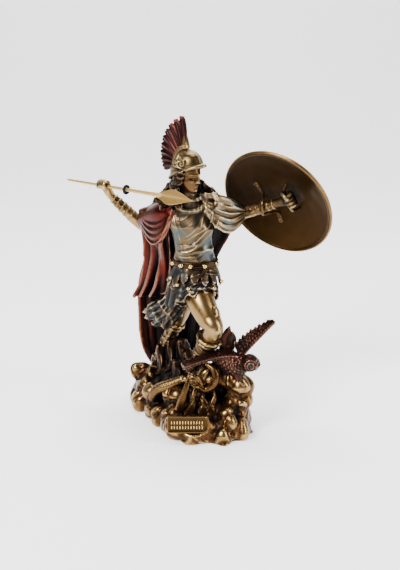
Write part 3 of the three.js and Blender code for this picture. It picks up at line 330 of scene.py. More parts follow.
def pebbled(points, size, seed):
    """From 1 in the middle of a pebble down to 0 in the crevice beside it."""
    q = points / size + 5.1 * (seed + 1)
    cell = np.floor(q).astype(np.int64)
    near = np.full((2, len(points)), 9.0)
    for step in itertools.product((-1, 0, 1), repeat=3):
        home = cell + np.array(step)
        spot = home + 0.5 + 0.42 * np.stack([hashed(home, k) for k in (1, 2, 3)], -1)
        far = np.linalg.norm(q - spot, axis=1)
        near = np.sort(np.vstack([near, far[None]]), axis=0)[:2]
    return np.clip((near[1] - near[0]) * 1.6, 0, 1)


def raised(shape, height):
    """The shape with every point moved along its normal by a height in millimetres."""
    shape.points = shape.points + normals_of(shape) * np.asarray(height)[:, None]
    return shape


print("noise runs from", *noise(np.random.default_rng(1).uniform(0, 50, (999, 3)), 5).round(2)[:3])

# %% [markdown]
# The rocks are glossy rounded boulders heaped along the lunge. A ring outside, a ring inside and a few heaps
# in front are placed by one rule. A core that reaches the last boulder along every ray fills the gaps.

# %% The rocks' plan
BASE_LENGTH, BASE_WIDTH, BASE_HEIGHT = 122, 70, 15
BOULDER = 10.5
PERCH_HEIGHT = 47
BASE_MIDDLE = np.array([-6.0, 10.0, 0])
base_heading = math.radians(-55)
lunge = turned([1, 0, 0], base_heading)
abreast = turned([0, 1, 0], base_heading)
rear_ankle, front_ankle = at(-32, 43, 35), at(-2, 5, 38)


def on_base(ahead, beside, z):
    """A place over the base: shares of its half length and half width, and a height."""
    narrow = 1 - 0.13 * (1 - ahead)
    place = BASE_MIDDLE + lunge * ahead * BASE_LENGTH / 2 + abreast * beside * narrow * BASE_WIDTH / 2
    return place + UP * z


def on_outline(angle, inset, z):
    square = [np.sign(value) * abs(value) ** 0.72 for value in (math.cos(angle), math.sin(angle))]
    return on_base(inset * square[0], inset * square[1], z)


def scatter(n):
    """A repeatable number from 0 to 1 for each whole number."""
    wave = math.sin(12.9898 * (n + 1)) * 43758.5453
    return wave - math.floor(wave)


perch_top = on_base(0.8, 0.42, PERCH_HEIGHT)
tablet_spot = on_base(0.745, -0.885, 0)
heaps = [(-0.78, -0.5, 1.65, 0.8), (-0.52, -0.7, 1.1, 0.85), (-0.2, -0.78, 1.25, 0.9),
         (0.14, -0.52, 1.6, 1.05), (0.08, -0.9, 0.5, 0.9), (0.4, -0.95, 0.45, 0.85), (0.57, -1, 0.6, 1),
         (0.74, -0.74, 0.55, 1.1), (0.34, 0.12, 1.5, 1.3), (0.6, -0.05, 1.1, 1.15), (0.62, 0.3, 1, 1.2),
         (0.45, 0.32, 2, 1), (-0.2, 0.1, 0.95, 1.2)]
OUTER_RING, INNER_RING = 15, 9


def boulders():
    """Every boulder as its centre and half sizes."""
    found = []
    for i in range(OUTER_RING):
        radius = BOULDER * (0.86 + 0.34 * scatter(i))
        found.append((on_outline(2 * math.pi * i / OUTER_RING, 1 - 1.24 * radius / BASE_WIDTH, 0.62 * radius),
                      radius * np.array([1, 1, 0.95])))
    for i in range(INNER_RING):
        radius = BOULDER * (0.8 + 0.35 * scatter(i + 40))
        found.append((on_outline(2 * math.pi * (i + 0.4) / INNER_RING, 0.6, BASE_HEIGHT + 0.2 * radius),
                      radius * np.array([1, 1, 0.8])))
    for ahead, beside, high, wide in heaps:
        found.append((on_base(ahead, beside, high * BASE_HEIGHT), wide * BOULDER * np.array([1, 1, 0.9])))
    for sole, size in [(rear_ankle - at(0, 0, 9), 1.3), (front_ankle + at(2, -5, -9), 1.25)]:
        found.append((sole - UP * 0.85 * size * BOULDER, size * BOULDER * np.array([1, 1, 0.85])))
    z = PERCH_HEIGHT - BOULDER
    for i in itertools.count():
        if z < -0.4 * BOULDER:
            break
        wide = BOULDER * (0.94 + 0.14 * scatter(21 + i))
        lean = 0.3 * BOULDER * np.array([scatter(21 + i) - 0.5, scatter(30 + i) - 0.5, 0])
        found.append((perch_top * [1, 1, 0] + lean + UP * z, np.array([wide, wide, BOULDER])))
        z -= 0.95 * BOULDER
    return found


def rock_core(found):
    """A skin through the far side of the last boulder along each ray from the middle of the base."""
    middle = BASE_MIDDLE + UP * 0.55 * BASE_HEIGHT
    rise = np.radians(-32 + 112 * np.linspace(0, 1, 60) ** 1.25)[:, None]
    angle = round_angles(200)
    ray = np.stack([np.cos(angle) * np.cos(rise), np.sin(angle) * np.cos(rise), np.sin(rise) + 0 * angle], -1)
    reach = np.where(ray[..., 2] < 0, 0.34 * BASE_WIDTH / np.hypot(ray[..., 0], ray[..., 1]),
                     0.8 * BASE_HEIGHT)
    for centre, half in found:
        way, start = ray / half, (middle - centre) / half
        along = (way @ start) / (way ** 2).sum(-1)
        rest = along ** 2 - (start @ start - 1) / (way ** 2).sum(-1)
        reach = np.maximum(reach, np.where(rest > 0, np.sqrt(np.maximum(rest, 0)) - along, 0))
    return skin(middle + ray * reach[..., None])


stones = boulders()
print(len(stones), "boulders")

# %% [markdown]
# The boulders melt into one glossy skin. It is swelled by soft pebbles of two sizes and then relaxed, which
# leaves the rounded lumps and narrow crevices of wax that was pressed on by thumb. The trunks stay a piece
# of their own, because they are coloured near black as painted shade between her legs.

# %% Rocks
# Boulders under the owl's wing and at the right foot, each as its middle and radius
more_boulders = [((8, -18, 43), 9.5), ((17, -17, 45), 9), ((26, -21, 42), 9), ((2, -14, 38), 8),
                 ((20, -40, 3), 11), ((32, -32, 5), 11.5), ((24, -35, 15), 10)]
# The smooth ledge under the tablet, as shares ahead and abreast
ledge = [(0.36, -0.97), (0.55, -1.0), (0.75, -0.98), (0.86, -0.7), (0.9, -0.3)]


def rocks():
    shapes = [rock_core(stones[:-5])]
    shapes += [ball(centre, 1.1 * half, 0.05, seed) for seed, (centre, half) in enumerate(stones)]
    shapes += [ball(centre, radius * np.ones(3), 0.08, 3) for centre, radius in more_boulders]
    shapes.append(limb([(on_base(ahead, beside, 2.6), 4.4, 3.6) for ahead, beside in ledge], 24, 60))
    skin_of_rock = fused(shapes, 0.9, 4)
    p = skin_of_rock.points
    flow = p * [1, 1, 0.8] + 5 * np.stack([noise(p, 15, k) for k in (7, 8, 9)], -1)
    cloudy = lambda size, seed: 1 - (1 - pebbled(flow, size, seed)) ** 2
    raised(skin_of_rock, 2.4 * cloudy(16, 0) + 0.4 * cloudy(8, 2) - 1.9)
    relaxed(skin_of_rock, 8)
    skin_of_rock.points[:, 2] = np.maximum(skin_of_rock.points[:, 2], 0)
    return skin_of_rock


def trunks():
    """Dark gnarled trunks that rise from the rocks between her legs."""
    places = [((-20, 22, 24), (-19, 28, 56)), ((-8, 14, 26), (-11, 22, 58)), ((-28, 26, 20), (-28, 32, 50)),
              ((-14, 10, 24), (-15, 12, 44)), ((-1, 6, 26), (-6, 16, 50))]
    gnarled = lambda angle, share: (1 + 0.22 * np.cos(3 * angle + 5 * share)
                                    + 0.12 * np.cos(5 * angle - 9 * share))
    return fused([limb([(at(*low), 8), (mix(at(*low), at(*high), 0.4) + at(2, -2, 0), 5.6), (at(*high), 4)],
                       30, 50, ripple=gnarled) for low, high in places], 1.1, 3)


rock_skin, trunk_shape = rocks(), trunks()
tell("the rocks", rock_skin, trunk_shape)

# %% [markdown]
# The tablet is a framed slab with a curled right edge, let into the rocks. It was pressed on as a soft strip,
# so the rocks are drawn back round it in a funnel. Two rows of plain raised strokes in gold lie on its face.

# %% The tablet
TABLET_WIDTH, TABLET_HEIGHT, TABLET_PROUD, TABLET_LEAN = 29, 12.5, 3, math.radians(8)
tablet_face = tablet_spot + np.array([-1.5, -TABLET_PROUD - 1.9, 0.52 * BASE_HEIGHT + 1.9])


def on_tablet(across, up, out):
    """A place on the tablet's face: across and up from the middle of its foot, and out from it."""
    c, s = math.cos(TABLET_LEAN), math.sin(TABLET_LEAN)
    return tablet_face + np.stack([across, up * s - out * c, up * c + out * s], -1)


def bar(places, wide, deep=None):
    """A raised bar through places on the tablet."""
    return limb([(on_tablet(*place), wide, deep or wide) for place in places], 10, 8 * (len(places) - 1),
                hint=np.array([0.3, 1, 0.2]))


def tablet():
    w, h = TABLET_WIDTH / 2, TABLET_HEIGHT
    slab = sheet(lambda u, v: on_tablet(mix(-w, w, u), mix(0, h, v), -2.2 + 0 * u), 5.5, 24, 12)
    low, high, left = 0.4, h - 0.4, -w + 0.3
    frame_bars = [bar([(*start, 0.4), (*end, 0.4)], 0.75)
                  for start, end in (((-w, low), (w, low)), ((-w, high), (w, high)),
                                     ((left, low), (left, high)))]
    curl = bar([(w + 1.6 * math.sin(math.pi * t), mix(0.6, h - 0.6, t), 0.4) for t in np.linspace(0, 1, 7)],
               1.5, 1.2)
    return fused([slab, *frame_bars, curl], 0.48, 2)


def strokes():
    """Two rows of short upright raised strokes."""
    spots = itertools.product(np.linspace(-0.4, 0.4, 12) * TABLET_WIDTH, (0.26, 0.56))
    return joined([bar([(across, low * TABLET_HEIGHT, 0.6), (across, (low + 0.17) * TABLET_HEIGHT, 0.6)],
                       0.42, 0.45) for across, low in spots])


def cleared(shape):
    """The rocks drawn back behind the tablet's face, in a funnel round it."""
    c, s = math.cos(TABLET_LEAN), math.sin(TABLET_LEAN)
    x, y, z = (shape.points - tablet_face).T
    up, out = y * s + z * c, z * s - y * c
    outside = np.maximum.reduce([np.abs(x) - TABLET_WIDTH / 2 - 1.5, up - TABLET_HEIGHT, -up, 0 * x])
    back = np.maximum(0, out + 1 - 1.6 * outside)
    shape.points = shape.points + back[:, None] * np.array([0, c, -s])


cleared(rock_skin)
tablet_slab, tablet_strokes = tablet(), strokes()
tell("the tablet", tablet_slab, tablet_strokes)

# %% [markdown]
# A scaly serpent lies across the front of the rocks. Its scales are a diamond ripple round a plain limb. A
# second one rears out of the rocks under the owl's wing with its mouth open, between jagged rock spikes.

# %% The serpent
def scales(angle, share):
    """Diamond scales: two sets of slanting ridges that cross."""
    around, rows = 9, 34
    a, b = around * angle / 2 + rows * math.pi * share, around * angle / 2 - rows * math.pi * share
    return 1 + 0.13 * np.abs(np.cos(a) * np.cos(b)) ** 0.7


def serpent():
    girth = 0.3 * BOULDER
    route = [(-0.16, -0.9, 0.9, 0.8), (-0.1, -0.95, 1.4, 1.15), (-0.02, -0.88, 1.8, 1.3),
             (0.12, -0.68, 2.15, 1.3), (0.24, -0.46, 2.5, 1.0)]
    body = limb([(on_base(ahead, beside, high * BASE_HEIGHT), wide * girth)
                 for ahead, beside, high, wide in route], 40, 150, ripple=scales)
    head_place = on_base(0.27, -0.42, 2.55 * BASE_HEIGHT)
    head = ball(head_place, girth * np.array([1.25, 1.1, 0.9]), 0.05, 3)
    return joined([body, head])


def rearing():
    """The second serpent's coil and open jaws."""
    coil = limb([((9, -25, 56), 1.4), ((14.5, -28, 52), 2.3), ((16, -29.5, 46), 2.8), ((13.5, -30, 40), 2.8),
                 ((8, -29.5, 36.5), 2.5), ((3.5, -29.5, 39), 2.3)], 36, 110, ripple=scales)
    upper_jaw = limb([((5, -29.5, 41), 2.2), ((2, -31, 46.5), 2.3), ((-1.5, -32, 48.5), 1.7, 1.3),
                      ((-4, -32.5, 47.5), 0.8)], 20, 40)
    lower_jaw = limb([((4.5, -29.5, 38.5), 1.9), ((1, -31.5, 39.8), 1.6, 1.2), ((-2.5, -32.5, 41.6), 0.7)],
                     18, 30)
    teeth = [limb([((2.5 - 1.7 * i, -33, 46 - 0.1 * i), 0.55), ((2.3 - 1.7 * i, -33.2, 42.6 - 0.1 * i), 0.2)],
                  8, 8) for i in range(4)]
    return [coil, upper_jaw, lower_jaw, *teeth]


def spikes():
    """Jagged edges of rock round the rearing serpent."""
    lines = [((-4, -30, 51), (-6, -32, 42), (-9, -33, 33), (-12, -32, 22)),
             ((7, -27, 34), (6, -30, 30), (8, -32, 24), (6, -31, 16)),
             ((1, -28, 40), (-1, -31, 33), (-2, -33, 26), (-6, -33, 18)),
             ((14, -26, 38), (15, -30, 31), (13, -32, 24), (15, -31, 16))]
    return [limb([(place, size) for place, size in zip(line, (0.7, 1.7, 2.4, 3.4))], 12, 40,
                 ripple=lambda angle, share: 1 + 0.25 * np.cos(3 * angle + 5 * share)) for line in lines]


serpent_body = joined([serpent(), fused([*rearing(), *spikes()], 0.5, 2)])
tell("the serpent", serpent_body)

# %% [markdown]
# The goddess lunges to the front right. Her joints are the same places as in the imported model, so the fine
# figure lies over the plain one.

# %% The pose
pelvis = at(-4, 5, 112)
waist = at(0.5, 2, 129)
right_shoulder, right_elbow = at(-21, 4, 171), at(-44, 31, 153.5)
right_wrist, right_fist = at(-65.5, 32, 174.5), at(-70, 28, 183.5)
left_shoulder, left_elbow = at(14, 2, 174), at(38, 26, 162.5)
left_wrist, left_fist = at(63, 10, 174), at(70.5, 5, 177.5)
head_centre = at(-5.5, -1, 200)
front_hip, front_knee = at(0, 0, 109), at(14.6, -20, 82)
rear_hip, rear_knee = at(-9, 8, 106), at(-12.5, 19, 79)
HEAD_TURN, HEAD_NOD = math.radians(44), math.radians(6)
CHEST_TURN, THIGH_TURN = math.radians(-104), math.radians(-62)
spear_way = unit(at(100, -100, 5))
shield_facing = unit([0.506, 0.76, 0.402])
shield_centre = at(66, 21, 174.5)
forearm_way = unit(left_wrist - left_elbow)
print("forearm:", np.linalg.norm(left_wrist - left_elbow).round(1), "mm")

# %% [markdown]
# Arms and legs are round limbs through their joints, thicker where the muscle lies. A fist is a palm with
# four fingers and a thumb that curl round the grip. They melt into one skin, so no seam shows at a knuckle.

# %% Bare limbs
def legs():
    front = limb([(pelvis + at(3, 0, 1), 11 * GROW), (mix(front_hip, front_knee, 0.34), 10.8 * GROW),
                  (mix(front_hip, front_knee, 0.74), 9.2 * GROW), (front_knee, 7.2 * GROW),
                  (mix(front_knee, front_ankle, 0.3), 7 * GROW),
                  (mix(front_knee, front_ankle, 0.8), 4.8 * GROW), (front_ankle, 4.4 * GROW)], 40, 90, ACROSS)
    rear = limb([(pelvis + at(-3, 1, 0), 10.4 * GROW), (mix(rear_hip, rear_knee, 0.5), 9.4 * GROW),
                 (rear_knee, 6.2 * GROW), (mix(rear_knee, rear_ankle, 0.35), 4.8 * GROW),
                 (rear_ankle, 3.2 * GROW)], 40, 90, ACROSS)
    shin = unit(front_ankle - front_knee)
    kneecap = ball(front_knee + at(1.6, -3.4, 0.4), GROW * np.array([4.2, 4, 4.6]))
    under = ball(front_knee + at(0.6, -3.2, -4.4) + shin, GROW * np.array([3, 3, 3]))
    outer = ball(mix(front_hip, front_knee, 0.7) + at(4.2, -1.6, 0), GROW * np.array([5.4, 6, 10]))
    return [front, rear, kneecap, under, outer]


def bare_arm(elbow, wrist):
    along = wrist - elbow
    return limb([(elbow - 0.12 * along, 4.4 * GROW), (elbow + 0.25 * along, 4.8 * GROW),
                 (elbow + 0.6 * along, 4 * GROW), (elbow + 0.88 * along, 3.2 * GROW), (wrist, 3 * GROW)],
                32, 40)


def fist(wrist, centre, grip, larger=1.0):
    """Palm, four curled fingers and a thumb round a grip."""
    big = GROW * larger
    reach = centre - wrist
    knuckle = unit(reach - grip * (reach @ grip))
    outer = unit(np.cross(grip, knuckle))
    palm = limb([(wrist, 3 * GROW, 3 * GROW), (wrist + 0.5 * reach, 3.5 * GROW, 3.8 * GROW),
                 (centre - 0.8 * outer, 3.6 * big, 5 * big)], 24, 24, grip)
    shapes = [palm]
    for i in range(4):
        spot = centre + grip * (i - 1.5) * 2.45 * big
        size = big * (1.36 - 0.12 * abs(i - 1.2))
        path = [(-2.6, 1.6), (-1.6, 3.9), (1.4, 4.5), (3.3, 2.6), (2.6, 0.2)]
        shapes.append(limb([(spot + big * (side * outer + out * knuckle), size) for side, out in path],
                           14, 28, grip))
    thumb = [(-2.6, -1.5, -4.2), (0.6, -0.6, -5.6), (3.4, 1.4, -4.4), (4, 2.6, -2)]
    shapes.append(limb([(centre + big * (side * outer + out * knuckle + down * grip), 1.5 * big)
                        for side, out, down in thumb], 14, 24, grip))
    return shapes


def foot(ankle, heading, length):
    ahead = pointing(heading)
    step = lambda far, down: ankle + ahead * far * length + at(0, 0, -down)
    return [limb([(step(-0.04, -2), 4.3 * GROW), (step(0.06, 4.4), 4.8 * GROW),
                  (step(0.3, 5.6), 4.4 * GROW, 4 * GROW), (step(0.62, 7), 4.6 * GROW, 2.7 * GROW),
                  (step(0.78, 7.4), 3.6 * GROW, 2 * GROW)], 32, 50, ACROSS + UP),
            ball(step(-0.06, 6), at(4, 4, 3.6))]


bare_limbs = fused([*legs(), bare_arm(right_elbow, right_wrist), bare_arm(left_elbow, left_wrist),
                    *fist(right_wrist, right_fist, spear_way),
                    *fist(left_wrist, left_fist, unit(np.cross(shield_facing, forearm_way)), 1.2)], 0.7, 3)
tell("the bare limbs", bare_limbs)

# %% [markdown]
# Her head is turned to her left. The face is a calm one of our own: eyes half way down, the nose and the
# mouth at thirds, each feature a soft bump or dent pushed into a plain skull.

# %% The head
head_axes = turning(2, HEAD_TURN) @ turning(0, HEAD_NOD)
head_side = head_axes @ np.array([1.0, 0, 0])


def on_head(v):
    """Places drawn about the head's centre, looking along -Y, set on the figure."""
    return head_centre + GROW * np.asarray(v, float) @ head_axes.T


def on_skull(v):
    """The other way: places on the figure, seen from the head."""
    return (v - head_centre) @ head_axes / GROW


# Each feature: place across and up, spread across and up, and how far it stands out
FACE = [(0, -0.6, 1.0, 2.2, 1.2), (0, -3.0, 1.0, 1.7, 2.0), (0, -5.0, 1.2, 1.0, 2.6),
        (1.3, -5.4, 0.7, 0.6, 1.0), (3.4, -1.5, 2.1, 1.5, -1.7), (3.4, -1.7, 1.4, 0.85, 1.3),
        (3.5, -0.75, 1.9, 0.3, 0.55), (3.4, -2.6, 1.6, 0.25, 0.3), (3.6, 0.7, 2.7, 0.55, 0.7),
        (5.0, -4.2, 2.2, 1.8, 0.7), (0.7, -7.6, 1.2, 0.45, 0.8), (0, -8.25, 2.1, 0.16, -0.7),
        (0, -8.95, 1.5, 0.5, 0.95), (0, -10.1, 1.8, 0.45, -0.5), (0, -11.8, 2.1, 1.4, 1.2),
        (0, -6.7, 0.35, 0.5, -0.35)]


def face_relief(x, z):
    height = np.zeros_like(x)
    for across, up, wide, tall, out in FACE:
        for side in ((-1, 1) if across else (1,)):
            height += out * np.exp(-((x - side * across) / wide) ** 2 - ((z - up) / tall) ** 2)
    return height


def head():
    rows = [(-14.2, -5.0, 2.2, 2.6), (-12.6, -4.2, 4.2, 5.6), (-10.2, -2.6, 5.8, 8.0), (-7, -1.2, 7.0, 9.6),
            (-3, 0, 8.0, 10.9), (3, 0.8, 8.6, 11.6), (9, 1.4, 7.6, 10.4), (13, 2, 4.6, 6.2)]
    path = smooth_path(rows, np.linspace(0, 1, 110))
    angle = round_angles(150)
    z, y, wide, deep = (path[:, k:k + 1] for k in range(4))
    x, back = wide * np.cos(angle), y + deep * np.sin(angle)
    facing = np.clip(-np.sin(angle), 0, 1) ** 0.5
    back = back - facing * face_relief(x, z + 0 * angle)
    skull = skin(on_head(np.stack([x, back, z + 0 * angle], -1)))
    ears = [ball(on_head((side * 8.4, 1.4, -2.6)), GROW * np.array([1.4, 2.2, 2.8])) for side in (-1, 1)]
    neck = limb([(at(-4, 3, 174), 7.4 * GROW), (at(-4.4, 2.6, 180), 6 * GROW),
                 (on_head((0, 2.4, -8)), 5.6 * GROW)], 40, 30)
    return fused([skull, neck, *ears], 0.4, 1)


head_shape = head()
tell("the head", head_shape)

# %% [markdown]
# The helmet is pushed back: a dome with a rolled brim that dips behind. Scrolls are cut into its sides, so
# the distance to a spiral drawn on the dome tells how deep the graver went.

# %% The helmet
def helmet_brim(angle):
    front, back = np.maximum(0, -np.sin(angle)), np.maximum(0, np.sin(angle))
    return 0.8 + 7.5 * front ** 1.3 - 9.5 * back


def spiral(centre, size, turns, start, way=1):
    """Points of a scroll in the side view, as back and up."""
    t = np.linspace(0, 1, 60)
    angle = start + way * turns * 2 * math.pi * t
    return np.array(centre) + (size * (1 - 0.8 * t))[:, None] * np.stack([np.cos(angle), np.sin(angle)], -1)


def stroke_depth(places, lines, wide):
    """From 1 on a drawn line to 0 a line's half width away from it."""
    near = np.full(len(places), 99.0)
    for spot in np.vstack(lines):
        near = np.minimum(near, np.hypot(places[:, 0] - spot[0], places[:, 1] - spot[1]))
    return np.clip(1.4 - near / wide, 0, 1)


helmet_scrolls = [spiral((-2.2, 8.4), 3.4, 1.3, 2.4), spiral((4.4, 8.2), 3.0, 1.2, 1.0, -1),
                  spiral((1.2, 12.4), 2.2, 1, 4.2), spiral((9.2, 4.6), 2.2, 1.1, 1.4),
                  np.stack([np.linspace(-6, 8, 40), 3.9 + 0.02 * np.linspace(-6, 8, 40)], -1),
                  spiral((7.2, 11.6), 1.9, 0.9, 3, -1)]


def helmet():
    rise = np.concatenate([np.linspace(0, 0.06, 6), np.linspace(0.09, 0.97, 80)])[:, None]
    angle = round_angles(200)
    swell = np.interp(rise, [0, 0.1, 0.25, 0.4, 0.55, 0.7, 0.82, 0.92, 0.97],
                      [1.03, 1.02, 1.02, 0.97, 0.9, 0.78, 0.63, 0.42, 0.22])
    peak = 1 + 0.24 * np.maximum(0, -np.sin(angle)) ** 2 * np.exp(-rise / 0.1)
    height = mix(helmet_brim(angle), 17.6, rise)
    dome = skin(on_head(np.stack([10.6 * swell * peak * np.cos(angle),
                                  1.4 + 13.2 * swell * peak * np.sin(angle), height], -1)))
    rim = []
    for a in np.linspace(0, 2 * math.pi, 90):
        front = max(0, -math.sin(a)) ** 2
        spot = on_head((11.1 * math.cos(a), 1.4 + 13.8 * (1 + 0.22 * front) * math.sin(a),
                        helmet_brim(a) + 0.3))
        rim.append((spot, (0.9 + 0.5 * front) * GROW))
    shape = fused([dome, limb(rim, 12, 260, ends=0)], 0.38, 3)
    seen = on_skull(shape.points)
    side = np.clip(np.abs(seen[:, 0]) / 3 - 1, 0, 1)
    cut = stroke_depth(seen[:, 1:], helmet_scrolls, 0.9) * side
    ridge = np.exp(-(seen[:, 0] / 1.1) ** 2) * (seen[:, 2] > 6)
    return raised(shape, 0.5 * ridge - 1.1 * cut)


helmet_shape = helmet()
tell("the helmet", helmet_shape)

# %% [markdown]
# The crest is a fan of plumes that grow from a bronze holder over the dome. Each plume is a flat tapering
# limb, in two layers that show each other's gaps.

# %% The crest
PLUMES = 18


def crest_root(share):
    angle = mix(math.radians(-16), math.radians(86), share)
    return np.array([1.4 + 12 * math.cos(angle), 4 + 11.8 * math.sin(angle)])


def crest():
    shapes = []
    for i in range(PLUMES):
        share = (i + 0.5) / PLUMES
        back, up = crest_root(share)
        lean = mix(math.radians(-22), math.radians(82), share)
        reach = mix(12.5, 26.5, share ** 0.9) * (1 - 0.035 * (i % 2))
        way, beside = np.array([math.cos(lean), math.sin(lean)]), np.array([-math.sin(lean), math.cos(lean)])
        stations = []
        for far, bend, wide in [(0.02, 0, 0.7), (0.3, 0.02, 1), (0.62, 0.03, 1.3), (0.86, 0, 1.35),
                                (1.0, -0.03, 0.85)]:
            y, z = np.array([back, up]) + reach * (far * way + bend * beside)
            stations.append((on_head((0.5 * (-1) ** i, y, z)), 1.5 * wide * GROW, 0.9 * GROW))
        shapes.append(limb(stations, 20, 40, head_side,
                           ripple=lambda angle, share: 1 + 0.5 * np.abs(np.sin(angle)) ** 16))
    return fused(shapes, 0.42, 1)


def crest_holder():
    """The metal band that the plumes grow from, with a horn that curls up in front."""
    path = []
    for share in np.linspace(-0.04, 1.0, 14):
        back, up = crest_root(share)
        lift, lean = 0.8 + 2.6 * share ** 2, mix(-0.3, 1.45, share)
        spot = on_head((0, back + lift * math.cos(lean), up + lift * math.sin(lean)))
        path.append((spot, 2.1 * GROW, (1.5 + 1.5 * share) * GROW))
    horn = [(on_head((0, back + 1.2 + 0.2 * rise, up + 3.2 + rise)), 1.9 * GROW * size, 3.4 * GROW * size)
            for rise, size in ((0, 0.9), (4, 0.75), (8, 0.5), (12, 0.16))]
    rings = lambda angle, share: 1 + 0.1 * np.abs(np.sin(2 * angle)) + 0.05 * np.cos(60 * math.pi * share)
    edged = lambda angle, share: 1 + 0.15 * np.abs(np.sin(2 * angle))
    return joined([limb(path, 32, 150, head_side, rings), limb(horn, 32, 50, head_side, edged)])


crest_plumes, crest_band = crest(), crest_holder()
tell("the crest", crest_plumes, crest_band)

# %% [markdown]
# Curly locks fall from under the helmet over both shoulders. A lock is four strands wound about a soft curve.

# %% The hair
LOCKS = [[(-8, 4, -5), (-11, 3, -15), (-12, -1, -22), (-12, -6, -30)],
         [(-7, 8, -6), (-14, 8, -16), (-19, 2, -22), (-22, -2, -27)],
         [(0, 12, -6), (-4, 13, -18), (-8, 12, -28), (-12, 11, -36)],
         [(4, 11, -6), (7, 13, -16), (6, 14, -28), (4, 13, -38)],
         [(8, 6, -4), (13, 7, -13), (15, 5, -20), (20, 0, -24)],
         [(8, 5, -8), (11, 5, -15), (13, 1, -21), (11, -6, -30)],
         [(-9, 0, -2), (-11, -1, -9), (-10, -5, -17), (-7, -9, -26)],
         [(9, 4, -7), (11, 4, -13), (10, -2, -20), (6, -7, -28)],
         [(-5, 11, -4), (-11, 12, -14), (-15, 9, -22), (-16, 7, -32)],
         [(7, 9, -5), (12, 11, -15), (13, 11, -24), (14, 9, -33)],
         [(10, 3, -8), (16, 2, -14), (20, -2, -17), (25, -2, -20)],
         [(-9, 6, -8), (-16, 4, -15), (-22, 2, -19), (-26, 4, -22)],
         [(-7, -7, 2), (-9.5, -6, -3), (-10, -3, -9), (-12, 0, -15)]]
STRANDS, STRAND_TURNS = 4, 1.1


def hair():
    shapes = []
    for n, points in enumerate(LOCKS):
        middle = smooth_path([head_centre + GROW * turned(p, 0.4 * HEAD_TURN) for p in points],
                             np.linspace(0, 1, 40))
        tangent = unit(np.gradient(middle, axis=0))
        across = unit(np.cross(ACROSS + UP, tangent))
        over = np.cross(tangent, across)
        share = np.linspace(0, 1, 40)
        girth = np.interp(share, [0, 0.3, 0.7, 1], [2.2, 2.7, 2.6, 0.6]) * GROW
        for strand in range(STRANDS):
            wave = (1.1 * np.sin(2 * math.pi * (2.2 * share + scatter(3 * n + strand)))
                    + 0.7 * np.sin(2 * math.pi * 4.1 * share + n))
            turn = 2 * math.pi * (STRAND_TURNS * share + strand / STRANDS + scatter(n)) + 0.5 * wave
            far = girth * (0.62 + 0.22 * np.sin(2 * math.pi * (2.6 * share + scatter(n + strand))))
            path = middle + far[:, None] * (across * np.cos(turn)[:, None] + over * np.sin(turn)[:, None])
            path = path + 0.9 * GROW * wave[:, None] * across
            sizes = (0.42 + 0.14 * scatter(n + 7 * strand)) * girth
            shapes.append(limb(list(zip(path, sizes)), 10, 100, ACROSS + UP))
    return fused(shapes, 0.46, 1)


hair_shape = hair()
tell("the hair", hair_shape)

# %% [markdown]
# Carved cloth reads by its folds: thin raised pleats with dark valleys between them. A pleat is a cosine
# made narrow at the top, and each piece of cloth only says along which lines its pleats run.

# %% Pleats
def pleats(phase, sharp):
    """From 1 on a pleat's crest to 0 in the valley. A phase of 1 is one pleat."""
    return (0.5 + 0.5 * np.cos(2 * math.pi * phase)) ** sharp


def creases(across, along, size, stretch, seed):
    """Uneven folds along one direction: 1 on a sharp crest, down to 0 in a wide valley."""
    places = np.stack([across, along / stretch, 0 * across], -1)
    return np.clip(1 - 2.4 * np.abs(noise(places, size, seed)), 0, 1) ** 1.3


def drape(top, bottom, sag, forward, folds, depth, thickness):
    """Cloth hung between two upper and two lower ends, with its folds nested in the sag."""
    (a, b), (c, d) = top, bottom
    ahead = np.array([0.0, -1.0, 0.0])

    def place(u, v):
        hang = (4 * u * (1 - u))[..., None]
        line = mix(mix(a, b, u[..., None]), mix(c, d, u[..., None]), v[..., None])
        deep = mix(sag[0], sag[1], v)[..., None] * hang
        out = mix(forward[0], forward[1], np.sin(0.5 * math.pi * v))[..., None] * hang
        fold = depth * pleats(folds * v + 0.12 * np.sin(5 * u), 1.6)
        fold = fold * np.minimum(1, 6 * np.minimum(u, 1 - u) + 0.3)
        return line + GROW * (out * ahead - deep * UP + fold[..., None] * unit(ahead + 0.5 * UP))

    return sheet(place, thickness * GROW, 110, 80)


print("half way down a pleat:", round(pleats(0.25, 1.6), 2))

# %% [markdown]
# The tunic is an upright body with a bosom, and its folds follow the cloth: arcs round the right shoulder,
# gathers above the belt, swags along the left arm. A carver would cut each with a gouge. Here creased noise
# is stretched along those lines and raised over the whole skin, so that no two folds are alike.

# %% The tunic over the chest
def bodice():
    def apart(angle):
        return np.arctan2(np.sin(angle - CHEST_TURN), np.cos(angle - CHEST_TURN))

    def swell(angle, share):
        side = apart(angle)
        bosom = sum(np.exp(-((side - a) / 0.42) ** 2) for a in (-0.5, 0.5))
        return 1 + 0.2 * bosom * np.exp(-((share - 0.57) / 0.14) ** 2)

    rows = [(waist - at(0, 0, 1), 15.8, 11.6), (at(0, 2, 134), 15.2, 11.2), (at(-0.6, 2.2, 139), 14.8, 10.8),
            (at(-1.2, 2.4, 144), 14.8, 10.8), (at(-1.8, 2.6, 149), 15.2, 11),
            (at(-2.4, 2.6, 154), 15.8, 11.4), (at(-2.8, 2.6, 159), 16.6, 11.6),
            (at(-3.2, 2.6, 164), 17.2, 11), (at(-3.6, 2.6, 169), 17.6, 10), (at(-4, 2.6, 174), 16, 8.6),
            (at(-4, 2.6, 179), 9.6, 7.2), (at(-4.2, 2, 184), 5.6, 5.6)]
    return column([(place, wide * GROW, deep * GROW) for place, wide, deep in rows], 200, 150, swell)


